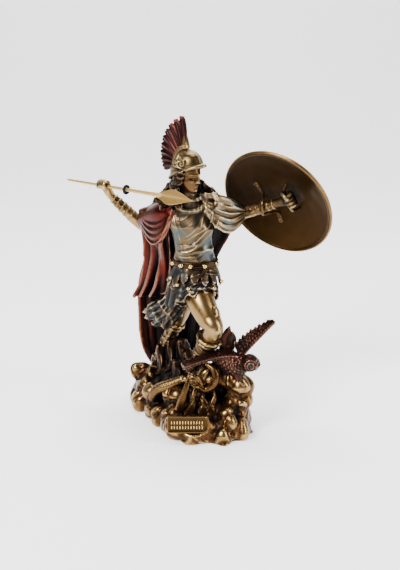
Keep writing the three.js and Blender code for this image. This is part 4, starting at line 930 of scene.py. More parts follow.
def tunic_folds(p):
    """Uneven fine folds over the whole tunic, each part along its own lines."""
    x, y, z = p.T / GROW
    wander = noise(p, 14, 4)
    far = np.hypot(x + 12, 0.9 * (z - 174)) + 3 * wander
    arcs = creases(far, far * np.arctan2(z - 174, x + 12), 2.8, 6, 1) * np.interp(far, [12, 28], [0.3, 1.4])
    gathers = (creases(x + 0.25 * (z - 150) + 2.4 * wander, z, 2.6, 7, 2)
               * np.interp(z, [136, 158], [1.4, 0.5]))
    front = np.clip((6 - y) / 8, 0, 1)
    chest = front * mix(arcs, gathers, 1 / (1 + np.exp((x + 10) / 2.5))) + (1 - front) * gathers
    share = np.clip((x - 5) / 34, 0, 1)
    swags = creases((183 - 0.45 * (x - 4) - z) / (4 * share * (1 - share) + 0.25) + 2 * wander, x, 3.4, 9, 3)
    angle = np.arctan2(y - 2, x + 1)
    lift = np.maximum(0, np.cos(angle - THIGH_TURN)) ** 1.5
    upright = creases(19 * angle + 0.2 * (z - 110) + 2 * wander, z, 3.4, 7, 4)
    level = creases(z - 15 * lift + 1.5 * wander, 20 * angle, 3, 8, 5)
    skirt = mix(upright, level, np.clip(2.5 * (lift - 0.25), 0, 1))
    way = unit([-28, 32, -27])
    over = np.cross(way, unit([0.75, -0.65, 0.1]))
    tail = creases(p @ over + 2 * wander, p @ way, 3, 7, 6)
    height = mix(chest, swags, np.clip((x - 15) / 5, 0, 1) * (z > 145))
    height = mix(height, skirt * np.interp(z, [108, 116], [1.1, 0.5]), np.clip((128 - z) / 3, 0, 1))
    height = mix(height, tail, np.clip((-13 - x) / 4, 0, 1) * (z < 110))
    return height - 0.3 + 0.25 * noise(p, 8, 5) + 0.15 * noise(p, 4, 6)


def neckline():
    """Soft rolls of cloth round the neck."""
    shapes = []
    for i, (wide, low, out) in enumerate([(9.5, 4, 2), (13, 9, 4.4)]):
        path = [(at(-4 - wide * math.cos(t), 1.5 - out * math.sin(t) - 4, 183 - 2.2 * i - low * math.sin(t)),
                 1.9 * GROW) for t in np.linspace(0, math.pi, 9)]
        shapes.append(limb(path, 14, 60, ACROSS))
    return shapes


def sleeves():
    left = limb([(at(2, 3, 170), 7.6, 9.4), (left_shoulder + at(1, 1, -3), 8.2, 9),
                 (mix(left_shoulder, left_elbow, 0.6) + at(0, 1, -1), 6.6, 7.4),
                 (mix(left_shoulder, left_elbow, 0.95), 5.4, 5.8)], 60, 70)
    swags = drape((at(5, -5, 181), at(36, 12, 169)), (at(8, -7, 171), at(39, 15, 160)), (1, 12), (3, 7),
                  4, 1.5, 2.2)
    top_roll = limb([(at(4, -2, 182), 2.2), (at(14, -3, 182), 2.6), (at(26, 4, 177), 2.6),
                     (at(37, 14, 168), 2)], 20, 60)
    return [left, swags, top_roll]


chest_shapes = [bodice(), *neckline(), *sleeves()]
tell("the tunic's upper half before it melts", *chest_shapes)

# %% [markdown]
# Below the belt the tunic flares in flutes and rides up over the raised thigh. Leaf-shaped tabs hang over
# it, and its end is blown back in ragged tongues. These are the deep folds, so they are drawn as shapes of
# their own.

# %% The skirt, the overfold and the tail
TUNIC_FOLDS, TABS = 13, 15
# The share of the skirt where its hem turns in, and the share that is left below
HEM_STARTS, HEM_LEFT = 0.93, 0.07


def skirt():
    lift = lambda angle: np.maximum(0, np.cos(angle - THIGH_TURN)) ** 1.5

    def swell(angle, share):
        flute = 1 + share * (0.13 * pleats(TUNIC_FOLDS * angle / (2 * math.pi) + 0.32 * share, 1.2) - 0.05)
        swags = 0.09 * lift(angle) * pleats(6.2 * share ** 1.8 + 0.12 * np.sin(5 * angle), 1.8) * share
        tuck = np.where(share > HEM_STARTS, 1 - 0.25 * (share - HEM_STARTS) / HEM_LEFT, 1)
        return (flute + swags) * tuck

    def drop(angle, share):
        hem = 8 - 15 * lift(angle) + 1.8 * np.cos(TUNIC_FOLDS * angle)
        under = np.where(share > HEM_STARTS, 6 * (share - HEM_STARTS) / HEM_LEFT, 0)
        return GROW * (np.minimum(share / HEM_STARTS, 1) ** 2 * hem - under)

    rows = [(waist, 15.8, 11.8), (at(-0.6, 2, 124), 16.6, 13), (at(-1.6, 2, 117), 17.8, 14.8),
            (at(-2.4, 2, 109), 19, 16.6), (at(-3, 2, 101), 20, 18)]
    return column([(place, wide * GROW, deep * GROW) for place, wide, deep in rows], 330, 110, swell, drop)


def overfold():
    """Leaf-shaped tabs that hang from the belt."""
    shapes = []
    for i in range(TABS):
        angle = 2 * math.pi * i / TABS + 0.1
        out = pointing(angle)
        long = 1 + 0.16 * math.cos(2 * angle) + 0.1 * math.cos(5 * angle)
        root = at(0.5, 2, 127.4) + GROW * out * [15.4, 11.6, 0]
        knee = at(0, 1.8, 127.4 - 5.4 * long) + GROW * out * [18.6, 15.4, 0]
        tip = at(-0.4, 1.6, 127.4 - 12.6 * long) + GROW * out * [21, 18, 0]
        hint = np.cross(UP, out)
        shapes.append(limb([(root, 2.6, 0.7), (mix(root, knee, 0.6), 3.4, 0.7), (knee, 3.6, 0.7),
                            (mix(knee, tip, 0.6), 2.8, 0.7), (tip, 0.7, 0.5)],
                           16, 40, np.cross(hint, root - tip)))
    return shapes


def tunic_tail():
    """The end of the tunic, blown back along the rear thigh in ragged tongues."""
    tongues = [((-12, 6, 104), (-20, 14, 92), (-31, 27, 82), (-41, 38, 76), 6.2),
               ((-14, 6, 99), (-22, 14, 87), (-31, 26, 78), (-40, 38, 71), 5),
               ((-15, 6, 95), (-21, 13, 83), (-28, 23, 74), (-34, 32, 67), 4.6),
               ((-12, 4, 97), (-17, 9, 85), (-21, 15, 76), (-25, 21, 69), 4.4),
               ((-6, 14, 104), (-14, 22, 94), (-26, 33, 86), (-37, 42, 79), 6),
               ((-9, 2, 102), (-13, 5, 91), (-15, 9, 83), (-17, 12, 77), 4)]
    shapes = []
    for n, (*places, wide) in enumerate(tongues):
        crease = lambda angle, share: (1 + 0.3 * np.cos(5 * angle + 4 * share + n) * share
                                       + 0.12 * np.cos(9 * angle - 12 * share))
        sizes = [(wide * 1.25, wide * 0.9), (wide * 1.15, wide * 0.55), (wide, wide * 0.36),
                 (wide * 0.5, wide * 0.16)]
        shapes.append(limb([(at(*place), *(GROW * s for s in size)) for place, size in zip(places, sizes)],
                           60, 60, np.array([0.5, 0.6, 1.0]), crease, 0.3))
    return shapes


tunic = fused([*chest_shapes, skirt(), *overfold(), *tunic_tail()], 0.68, 2)
raised(tunic, tunic_folds(tunic.points))
tell("the tunic", tunic)

# %% [markdown]
# The belt is a plain band with pale gold studs at the gathers, a plate between the front two and two beaded
# chains below. All of them follow one oval round the waist, so a heading and a height place each.

# %% The belt
def round_waist(angle, z, out):
    """A place round the waist at a heading in degrees, and out from the belt."""
    a = math.radians(angle)
    return GROW * np.array([0.5 + (16.6 + out) * math.cos(a), 2 + (12.8 + out) * math.sin(a), z])


def chain(start, end, high, sag, out, swing, girth, beads, steps):
    """A beaded chain that hangs in front of the belt between two headings."""
    path = []
    for t in np.linspace(0, 1, 9):
        hang = math.sin(math.pi * t)
        path.append((round_waist(mix(start, end, t), high - sag * hang, out + swing * hang), girth * GROW))
    return limb(path, 10, steps, ripple=lambda angle, share: 1 + 0.3 * np.cos(beads * math.pi * share))


def belt():
    band = column([(at(0.5, 2, 127.4), 16.4, 12.6), (at(0.5, 2, 128), 17.2, 13.2),
                   (at(0.5, 2, 131), 17.2, 13.2), (at(0.5, 2, 131.8), 16.4, 12.6)], 120, 12)
    cords = [limb([(round_waist(a, z, 0.5), 0.55 * GROW) for a in np.linspace(0, 360, 61)], 8, 240,
                  ripple=lambda angle, share: 1 + 0.2 * np.cos(2 * angle + 120 * math.pi * share), ends=0)
             for z in (127.6, 131.6)]
    plate = limb([(round_waist(a, 129.4, 0.9), 2.3 * GROW, 1 * GROW) for a in (-99, -90, -81, -72)], 16, 30)
    return joined([band, *cords, plate, chain(-106, -64, 127, 9.5, 2.2, 2.6, 0.8, 30, 150),
                   chain(-100, -70, 126.6, 5, 2, 1.8, 0.7, 22, 120)])


def studs():
    shapes = [ball(round_waist(a, 129.6, 1.3), (2, 2, 2)) for a in (-165, -128, -102, -68, -24)]
    shapes += [ball(round_waist(a, z, out + 0.4), (1.5, 1.5, 1.5), rows=14) for a, z, out in
               [(-150, 119.5, 5), (-128, 115.5, 5.5), (-104, 113.6, 6), (-52, 113, 6), (-24, 116, 5)]]
    return joined(shapes)


belt_shape, stud_shape = belt(), studs()
tell("the belt", belt_shape, stud_shape)

# %% [markdown]
# The cape hangs from both shoulders down to the rocks. Two sets of rows of points carry it, one round the
# back and one for the panel in front that hangs from the raised arm. The red cowl is draped over that arm.

# %% The cape
CAPE_THICKNESS, CAPE_FOLDS = 2.4, 8
cape_rows = [[(-40, 24, 165), (-21, 6, 178), (-4, 7, 186), (14, 5, 181), (33, 18, 171)],
             [(-42, 31, 161), (-25, 17, 174), (-4, 14, 180), (17, 14, 175), (36, 27, 163)],
             [(-41, 38, 146), (-26, 26, 152), (-5, 20, 160), (14, 20, 158), (27, 25, 147)],
             [(-40, 41, 126), (-26, 30, 130), (-7, 22, 136), (7, 19, 136), (16, 20, 125)],
             [(-46, 44, 100), (-33, 42, 100), (-16, 36, 104), (-1, 30, 104), (9, 22, 100)],
             [(-47, 51, 66), (-38, 56, 66), (-22, 56, 66), (-6, 48, 66), (5, 38, 66)],
             [(-44, 54, 40), (-36, 60, 36), (-24, 60, 32), (-10, 54, 32), (0, 44, 36)],
             [(-33, 51, 22), (-30, 58, 20), (-22, 58, 18), (-12, 54, 18), (-6, 46, 20)]]
panel_rows = [[(-42, 26, 160), (-33, 12, 160), (-20, 6, 160)],
              [(-40, 34, 146), (-31, 18, 143), (-19, 11, 143)],
              [(-39.5, 37, 128), (-30, 23, 124), (-18, 14, 124)],
              [(-43, 40, 104), (-34, 28, 104), (-20, 17, 104)], [(-50, 41, 89), (-38, 33, 92), (-23, 20, 98)]]


def cloth(rows, deep):
    """Places over rows of points, pushed out of the cloth by deep(u, v)."""
    rows = GROW * np.array(rows, float)

    def place(u, v):
        down = smooth_path(rows, v[0])
        line = smooth_path(np.moveaxis(down, 1, 0), u[:, 0])
        way = np.gradient(line, axis=0)
        out = unit(np.stack([way[..., 1], -way[..., 0], 0 * way[..., 0]], -1))
        return line + GROW * deep(u, v)[..., None] * out

    return place


def creases_on(across, along, size, stretch, seed):
    """The same uneven folds over the grid of a cloth."""
    return creases((across + 0 * along).ravel(), (along + 0 * across).ravel(), size, stretch, seed).reshape(
        np.broadcast(across, along).shape)


def cape():
    def deep(u, v):
        open_edges = np.minimum(1, np.minimum(5 * u + 0.3, 5 * (1 - u) + 0.3))
        size = 2.4 * np.minimum(1, 0.2 + 1.7 * v) * open_edges * (0.75 + 0.3 * np.sin(9 * u + 4 * v))
        phase = CAPE_FOLDS * (u + 0.06 * v + 0.02 * np.sin(6 * v) + 0.055 * np.sin(3 * math.pi * u + 2.5 * v))
        folds = size * (np.cos(2 * math.pi * phase) + 0.5 * np.cos(math.pi * phase + 1.2 * v)
                        + 0.3 * np.cos(4 * math.pi * phase + 4 * v))
        return folds + 1.3 * creases_on(130 * u + 6 * v, 150 * v, 9, 6, 1)

    return fused([sheet(cloth(cape_rows, deep), CAPE_THICKNESS, 330, 260)], 1.0, 2)


def panel():
    def deep(u, v):
        valley = -8.5 * np.exp(-((u - 0.42) / 0.16) ** 2) * np.clip(3 * v - 0.3, 0, 1)
        ridges = (1.3 + 1.8 * v) * (np.cos(2 * math.pi * (2.6 * u + 0.35 * v))
                                    + 0.4 * np.cos(2 * math.pi * (5.3 * u - 0.5 * v)))
        return valley + ridges + 0.9 * creases_on(42 * u + 6 * v, 75 * v, 5, 6, 2)

    front = sheet(cloth(panel_rows, deep), CAPE_THICKNESS, 150, 200)
    cowl = drape((at(-43, 25, 166), at(-15, -2, 180)), (at(-43, 26, 157), at(-17, -5, 169)), (1, 20), (2, 9),
                 6, 2.4, 2.8)
    sleeve = limb([(at(-9, 4, 170), 8, 9), (right_shoulder + at(0, 0, -3), 8.6, 9.8),
                   (mix(right_shoulder, right_elbow, 0.55) + at(0, 0, -1), 7.6, 8.8),
                   (mix(right_shoulder, right_elbow, 0.88), 5.6, 7)], 60, 60)
    edge = limb([(at(*row[0]), 1.5 * GROW) for row in panel_rows], 20, 100, ACROSS)
    return fused([front, cowl, sleeve, edge], 0.68, 2)


cape_shape, panel_shape = cape(), panel()
tell("the cape with its panel", cape_shape, panel_shape)

# %% [markdown]
# Bracers and boots stand for leather: bands round the arm, and tall boots laced in front with a rolled
# cuff under the knee.

# %% Bracers and boots
def bracer(elbow, wrist):
    def bands(angle, share):
        band = np.clip(1.6 * np.cos(2 * math.pi * (4.5 * share + 0.5)), 0, 1) ** 0.6
        slats = 0.5 + 0.5 * np.cos(9 * angle)
        return 1 + 0.16 * band + 0.05 * (1 - band) * slats

    return limb([(mix(elbow, wrist, 0.2), 4.3 * GROW), (mix(elbow, wrist, 0.55), 4.1 * GROW),
                 (mix(elbow, wrist, 0.92), 3.5 * GROW)], 44, 110, ripple=bands, ends=0.1)


LACES = 6


def boot(knee, ankle, heading, cuff_radius, lean, start=0.2):
    down = ankle - knee
    ahead = pointing(heading)
    side = unit(np.cross(down, ahead))
    toward = unit(np.cross(side, down))
    top = knee + start * down
    wrinkles = lambda angle, share: (1 + 0.03 * np.cos(2 * math.pi * 5 * share + 2 * angle)
                                     + 0.03 * np.cos(5 * angle))
    shaft = limb([(top, cuff_radius * 0.96), (mix(knee, ankle, 0.42), 0.88 * cuff_radius),
                  (mix(knee, ankle, 0.75), 0.66 * cuff_radius), (ankle + at(0, 0, -1), 0.62 * cuff_radius)],
                 60, 110, ACROSS, wrinkles)
    shapes = [shaft]
    for low, size, swell in ((0.0, 1.5, 1.08), (0.085, 1.0, 0.98)):
        ring = []
        for a in np.linspace(0, 2 * math.pi, 33):
            out = math.cos(a) * toward + math.sin(a) * side
            spot = top + low * down + GROW * lean * math.cos(a) * unit(down) + swell * cuff_radius * out
            ring.append((spot, size * GROW * (1 + 0.16 * math.cos(9 * a))))
        shapes.append(limb(ring, 14, 200, down + ahead, ends=0))
    for i in range(LACES):
        share = mix(0.34, 0.94, i / (LACES - 1))
        centre = mix(knee, ankle, share)
        radius = cuff_radius * np.interp(share, [0.2, 0.42, 0.75, 1], [0.98, 0.92, 0.72, 0.68])
        ring = []
        for a in np.linspace(-2.0, 2.0, 15):
            out = math.cos(a) * toward + math.sin(a) * side
            spot = centre + radius * out + unit(down) * GROW * 1.4 * math.cos(2 * a) * (-1) ** i
            ring.append((spot, 0.75 * GROW))
        shapes.append(limb(ring, 10, 60, down + ahead))
        shapes.append(ball(centre + (radius + 0.4) * toward, GROW * np.array([1.3, 1.3, 1.3]), rows=8))
    tongue = limb([(mix(knee, ankle, s) + toward * cuff_radius * w, 1.7 * GROW, 0.8 * GROW)
                   for s, w in ((0.22, 1.0), (0.42, 0.93), (0.7, 0.75), (0.98, 0.72))], 16, 60, toward)
    return shapes + [tongue]


def boots():
    front_heading, rear_heading = math.radians(-62), math.radians(-100)
    shapes = boot(front_knee, front_ankle, front_heading, 8.3 * GROW, -1.5)
    shapes += boot(rear_knee, rear_ankle, rear_heading, 5.8 * GROW, -1, 0.13)
    for ankle, heading, long in ((front_ankle, front_heading, 30), (rear_ankle, rear_heading, 26)):
        shapes += foot(ankle, heading, long * GROW)
        ahead = pointing(heading)
        side = np.cross(UP, ahead)
        for far in (0.3, 0.5):
            centre = ankle + ahead * far * long * GROW - at(0, 0, 6.2)
            shapes.append(limb([(centre + GROW * (4.6 * math.cos(a) * side + 3.8 * math.sin(a) * UP),
                                 0.8 * GROW)
                                for a in np.linspace(-0.2, math.pi + 0.2, 11)], 10, 40, ahead))
    return fused(shapes, 0.56, 1)


bracers = joined([bracer(right_elbow, right_wrist), bracer(left_elbow, left_wrist)])
boot_shape = boots()
tell("the leather", bracers, boot_shape)

# %% [markdown]
# The owl lands on the boulders with both wings out. Its feathers are flat tapering limbs in overlapping
# rows, as a sculptor lays them: short ones near the bone, long ones behind.

# %% The owl's body
OWL_LENGTH, WING_LENGTH = 31, 42
HEAD_RADIUS = 0.225 * OWL_LENGTH
OWL_HEADING, OWL_PITCH = math.radians(-22), math.radians(2)
owl_axes = turning(2, OWL_HEADING) @ turning(1, OWL_PITCH)
owl_centre = perch_top + OWL_LENGTH * np.array([-0.19, -0.02, 0.36])


def on_owl(*v):
    """A place drawn on an owl one unit long that flies along +X."""
    return owl_centre + OWL_LENGTH * owl_axes @ np.array(v, float)


owl_head = on_owl(0.5, -0.04, 0.03)


def feather(root, tip, wide, facing, thick):
    """A flat tapering feather with a rounded tip and a raised shaft."""
    middle = mix(root, tip, 0.55)
    return limb([(root, 0.55 * wide, thick), (mix(root, tip, 0.3), 0.9 * wide, thick), (middle, wide, thick),
                 (mix(root, tip, 0.85), 0.85 * wide, thick), (tip, 0.35 * wide, 0.6 * thick)],
                16, 22, -facing, ripple=lambda angle, share: 1 + 0.55 * np.abs(np.sin(angle)) ** 24)


def owl_body():
    ruffle = lambda angle, share: 1 + 0.11 * np.abs(np.cos(6 * angle + 9 * math.pi * share)
                                                    * np.cos(6 * angle - 9 * math.pi * share))
    body = limb([(on_owl(-0.5, 0, 0.02), 0.12 * OWL_LENGTH), (on_owl(-0.2, 0, -0.04), 0.23 * OWL_LENGTH),
                 (on_owl(0.14, 0, -0.1), 0.29 * OWL_LENGTH), (on_owl(0.36, 0, 0), 0.19 * OWL_LENGTH)],
                80, 90, ripple=ruffle)
    shapes = [body, ball(owl_head, HEAD_RADIUS * np.ones(3), rows=40)]
    for side in (-0.12, 0.12):
        shapes.append(limb([(on_owl(0.12, side, -0.15), 0.13 * OWL_LENGTH),
                            (on_owl(0.26, 1.1 * side, -0.42), 0.085 * OWL_LENGTH)],
                           30, 40, ripple=ruffle))
        for spread in (-0.08, 0, 0.08):
            shapes.append(limb([(on_owl(0.26, 1.1 * side, -0.44), 1),
                                (on_owl(0.34, 1.1 * side + spread, -0.46), 1),
                                (on_owl(0.41, 1.1 * side + 1.3 * spread, -0.52), 0.5)], 10, 20))
    return shapes


body_shapes = owl_body()
tell("the owl's body before it melts", *body_shapes)

# %% [markdown]
# An owl's face is two shallow discs of stiff feathers round the eyes, with a short beak between. The discs
# are beaded rings on the round head. The eyes are a piece of their own, because they are painted black.

# %% The owl's face
owl_look = unit(owl_axes @ np.array([0.81, -0.54, -0.2]))
owl_side = unit(np.cross(owl_look, UP))
owl_brow = np.cross(owl_side, owl_look)


def on_owl_face(across, up, out=0.0):
    """A place on the round head: shares of its radius across and up, and millimetres out."""
    spot = owl_look * math.sqrt(max(0, 1 - across ** 2 - up ** 2)) + owl_side * across + owl_brow * up
    return owl_head + unit(spot) * (HEAD_RADIUS + out)


def owl_face():
    shapes, eyes = [], []
    for side in (-1, 1):
        centre = on_owl_face(0.52 * side, 0.16)
        facing = unit(centre - owl_head)
        across, over = unit(np.cross(UP, facing)), unit(np.cross(facing, np.cross(UP, facing)))
        for radius, girth, out in ((4.1, 0.62, -0.7), (2.4, 0.6, 0.35)):
            ring = [(centre + facing * (out - 0.1 * radius)
                     + radius * (math.cos(a) * across + math.sin(a) * over), girth)
                    for a in np.linspace(0, 2 * math.pi, 25)]
            shapes.append(limb(ring, 10, 72, facing, ends=0,
                               ripple=lambda angle, share: 1 + 0.22 * np.cos(2 * math.pi * 14 * share)))
        eyes.append(ball(centre + 0.1 * facing, (1.8, 1.8, 1.8)))
    shapes.append(limb([(on_owl_face(0, 0.3, 0.2), 0.7), (on_owl_face(0, 0.02, 1.5), 1),
                        (on_owl_face(0, -0.26, 1.7), 0.3)], 14, 24))
    return shapes, joined(eyes)


face_shapes, owl_eyes = owl_face()
tell("the owl's face before it melts", *face_shapes)

# %% [markdown]
# A wing is a bone with four rows of feathers behind it, and the rows nearer to the bone are shorter and lie
# higher. One function lays both wings and only their ends, their depth and their bow differ.

# %% The owl's wings
def wing(root, tip, trail, chord, taper, bow, count, bone=0.062):
    """A bone along the front edge and four rows of feathers that trail to one side, on both faces."""
    along = tip - root
    length = np.linalg.norm(along)
    x = along / length
    z = unit(np.cross(trail, along))
    y = np.cross(z, x)
    spot = lambda far, back, out=0.0: (root + x * length * far + y * (
        length * bow * math.sin(math.pi * max(0, far) ** 0.8) - back) + z * out)
    reach = lambda far: length * chord * mix(1, taper, far * far)
    downy = lambda angle, share: 1 + 0.08 * np.abs(np.cos(3 * angle + 30 * math.pi * share))
    shapes = [limb([(spot(t, 0.03 * length), length * mix(bone, 0.016, t), length * mix(0.8 * bone, 0.014, t))
                    for t in (0, 0.2, 0.4, 0.6, 0.8, 0.97)], 20, 60, ripple=downy)]
    rows = [(0.3, 1.0, 1.0, 0), (0.16, 0.7, 0.85, 0.55), (0.06, 0.46, 0.7, 1.0), (-0.02, 0.24, 0.55, 1.35)]
    for near, far, wide, out in rows:
        number = round(count / wide ** 0.8)
        for i in range(number):
            share = (i + 0.5) / number
            deep = reach(share)
            for face in ((-1, 1) if out else (1,)):
                shapes.append(feather(spot(share - 0.05, near * deep, out * face * 0.6),
                                      spot(min(1, share + 0.05 * (1 + share)),
                                           far * deep * (1 - 0.05 * (i % 2)), out * face),
                                      0.56 * length / number, z, 0.55))
    return shapes


def owl_wings():
    near_root, far_root = on_owl(0.2, -0.14, 0.14), on_owl(0.24, 0.14, 0.1)
    near_tip = near_root + unit(on_owl(-1.06, -0.86, -0.14) - near_root) * WING_LENGTH
    far_tip = far_root + unit(on_owl(0.74, 1.06, 0.78) - far_root) * 0.92 * WING_LENGTH
    shapes = wing(near_root, near_tip, np.array([0, 0.94, 0.34]), 0.27, 0.6, -0.1, 10, 0.045)
    shapes += wing(far_root, far_tip, np.array([-0.7, 0.1, 0.65]), 0.31, 0.15, 0, 10)
    ribbed = lambda angle, share: 1 + 0.4 * np.abs(np.sin(angle)) ** 20
    # Two broad tail feathers that stand up behind the back, each as root, middle, tip and half width
    for *leaf, wide in [((-0.28, 0.14, 0.06), (-0.26, 0.18, 0.42), (-0.16, 0.23, 0.79), 3.3),
                        ((-0.17, 0.16, 0.04), (-0.09, 0.25, 0.36), (-0.09, 0.26, 0.64), 3.3)]:
        root, middle, tip = (on_owl(*place) for place in leaf)
        shapes.append(limb([(root, 1.1 * wide, 1.8), (mix(root, middle, 0.6), 1.1 * wide, 1.3),
                            (middle, 1.1 * wide, 1.1), (mix(middle, tip, 0.6), 0.9 * wide, 1),
                            (tip, 0.2 * wide, 0.7)], 24, 50, np.array([0, 1, 0.2]), ribbed))
    return shapes


owl_shape = fused([*body_shapes, *face_shapes, *owl_wings()], 0.44, 1)
tell("the owl", owl_shape, owl_eyes)

# %% [markdown]
# The shield is a shallow dish with a rolled edge, seen from inside. A strap crosses the forearm and a bar
# is gripped. It is a lathed profile, so only its section is drawn.

# %% The shield
SHIELD_DIAMETER, SHIELD_THICKNESS, SHIELD_DISH, SHIELD_LIP = 93, 2, 6, 1.6
shield_x = -unit(forearm_way - shield_facing * (forearm_way @ shield_facing))
shield_y = np.cross(shield_facing, shield_x)
grip_along = (shield_centre - left_fist) @ forearm_way
grip_lift = -(left_fist - shield_centre) @ shield_facing


def placed(origin, axes, drawn):
    """Places drawn along three axes from an origin. Each of the drawn lengths may be a grid."""
    for length, axis in zip(drawn, axes):
        origin = origin + np.multiply.outer(length, axis)
    return origin


def on_shield(x, y, z):
    """A place on the shield: along the forearm, across it, and away from the arm."""
    return placed(shield_centre, (shield_x, shield_y, shield_facing), (x, y, z))


def turned_profile(profile, around, ripple):
    radius, away = np.array(profile).T
    angle = round_angles(around)
    away = away[:, None] + ripple(radius[:, None], angle)
    return skin(on_shield(radius[:, None] * np.cos(angle), radius[:, None] * np.sin(angle), away))


def shield_disc():
    radius = SHIELD_DIAMETER / 2
    ball_radius = (radius ** 2 + SHIELD_DISH ** 2) / (2 * SHIELD_DISH)
    sag = lambda r: math.sqrt(ball_radius ** 2 - r * r) - ball_radius
    inner, rows = radius - 2 * SHIELD_LIP, 46
    profile = [(r, sag(r) + SHIELD_THICKNESS) for r in np.linspace(0.4, inner, rows)]
    for angle in np.radians(np.linspace(150, -150, 21)):
        profile.append((radius - SHIELD_LIP + SHIELD_LIP * math.cos(angle),
                        sag(inner) + SHIELD_LIP * (0.4 + math.sin(angle))))
    profile += [(r, sag(r)) for r in np.linspace(inner, 0.4, rows)]

    def ripple(r, angle):
        front = np.arange(len(r))[:, None] < rows + 10
        rings = sum(np.exp(-((r - place) / 0.7) ** 2) for place in (13, 36, 39))
        hammer = 0.1 * np.cos(5 * angle + 0.3 * r) * np.cos(0.21 * r) + 0.05 * np.cos(9 * angle - 0.5 * r)
        return np.where(front, 0.5 * rings, 0) + hammer * (r < inner) * np.minimum(1, (r / 12) ** 2)

    return turned_profile(profile, 180, ripple)


def shield_strap():
    """A strap that curls over the forearm: places along the forearm, across it and away from the shield."""
    path = [(13.4, 18.4, 1.4), (12.8, 16, 1), (12, 13, 1.8), (8, 9.8, 5), (5, 9.4, 11.5), (4.5, 7.2, 16),
            (6, 2.5, 18), (8, -1.7, 16.6), (7, -4, 12), (6.5, -7, 6), (7.5, -10.5, 2), (9, -16, 1),
            (9.6, -18.4, 1.4)]
    sizes = np.interp(np.arange(len(path)), [0, 2, 10, 12], [1.5, 1.1, 1.1, 1.5])
    band = limb([(on_shield(x, y, -away), size, 0.8) for (x, y, away), size in zip(path, sizes)],
                20, 140, -shield_facing, ripple=lambda angle, share: 1 + 0.2 * np.abs(np.cos(angle)) ** 6)
    pins = [ball(on_shield(x, y, -1.6), (0.9, 0.9, 0.9), rows=8) for x, y in [(12.6, 16), (9, -16)]]
    return joined([band, *pins])


def shield_grip():
    path = [(-11, 0.4), (-8.8, 0.7 * grip_lift), (-5.5, grip_lift), (5.5, grip_lift), (8.8, 0.7 * grip_lift),
            (11, 0.4)]
    return limb([(on_shield(grip_along, side * GROW, -away), 1.2 * GROW) for side, away in path],
                16, 80, forearm_way)


disc_shape, strap_shape = shield_disc(), joined([shield_strap(), shield_grip()])
tell("the shield", disc_shape, strap_shape)

# %% [markdown]
# The spear is a brass rod with a leaf blade of four hollow-ground faces, and a black ring half way along.

# %% The spear and its collar
SPEAR_LENGTH, SPEAR_DIAMETER, SPEAR_BUTT, GRIP_SHARE = 143.5, 3.2, 1.8, 0.325
BLADE_LENGTH, BLADE_WIDTH, BLADE_THICKNESS = 41.5, 12.6, 2.6
CLEARANCE, RING_RADIUS = 0.3, 3.4
blade_faces = np.array([0, -1, 0.45])
spear_z = unit(blade_faces - spear_way * (blade_faces @ spear_way))
spear_y = np.cross(spear_z, spear_way)
spear_butt = right_fist - spear_way * GRIP_SHARE * SPEAR_LENGTH


def on_spear(x, y=0.0, z=0.0):
    """A place on the spear: along it from the butt, across the blade, and out from its face."""
    return placed(spear_butt, (spear_way, spear_y, spear_z), (x, y, z))


def spear():
    shaft = SPEAR_LENGTH - BLADE_LENGTH
    rod = limb([(on_spear(0.6), SPEAR_BUTT / 2), (on_spear(0.5 * shaft), SPEAR_DIAMETER * 0.39),
                (on_spear(shaft), SPEAR_DIAMETER / 2),
                (on_spear(shaft + 0.12 * BLADE_LENGTH), 0.6 * SPEAR_DIAMETER),
                (on_spear(shaft + 0.24 * BLADE_LENGTH), 1.2),
                (on_spear(shaft + 0.42 * BLADE_LENGTH), 0.3)], 20, 110)
    collar = limb([(on_spear(shaft - 0.5), 1.8), (on_spear(shaft + 0.5), 1.8)], 24, 6, ends=0.3)
    share = np.linspace(0, 1, 70)
    wide = np.interp(share, [0, 0.12, 0.26, 0.36, 0.46, 0.7, 0.98, 1],
                     [0.16, 0.3, 0.56, 0.88, 1, 0.64, 0.04, 0.02])
    wide = np.convolve(np.pad(wide, 4, mode="edge"), np.ones(9) / 9, "valid") * BLADE_WIDTH / 2
    thick = BLADE_THICKNESS / 2 * np.minimum(1, 0.3 + wide / (BLADE_WIDTH / 2))
    angle = round_angles(40)
    across = np.cos(angle)
    ridge = np.sign(np.sin(angle)) * (0.18 + 0.82 * (1 - np.abs(across)) ** 1.5)
    ridge = ridge * np.minimum(1, 6 * np.abs(np.sin(angle)))
    x = (SPEAR_LENGTH - BLADE_LENGTH * (1 - share))[:, None] + 0 * across
    blade = skin(on_spear(x, wide[:, None] * across, thick[:, None] * ridge))
    return joined([rod, collar, blade])


def spear_ring():
    bore = SPEAR_DIAMETER / 2 + CLEARANCE
    middle, half = (bore + RING_RADIUS) / 2, (RING_RADIUS - bore) / 2
    ring = [(on_spear(SPEAR_LENGTH / 2, middle * math.cos(a), middle * math.sin(a)), 1.2, half)
            for a in np.linspace(0, 2 * math.pi, 65)]
    return limb(ring, 20, 128, spear_way, ends=0)


spear_shape, ring_shape = spear(), spear_ring()
tell("the spear", spear_shape, ring_shape)
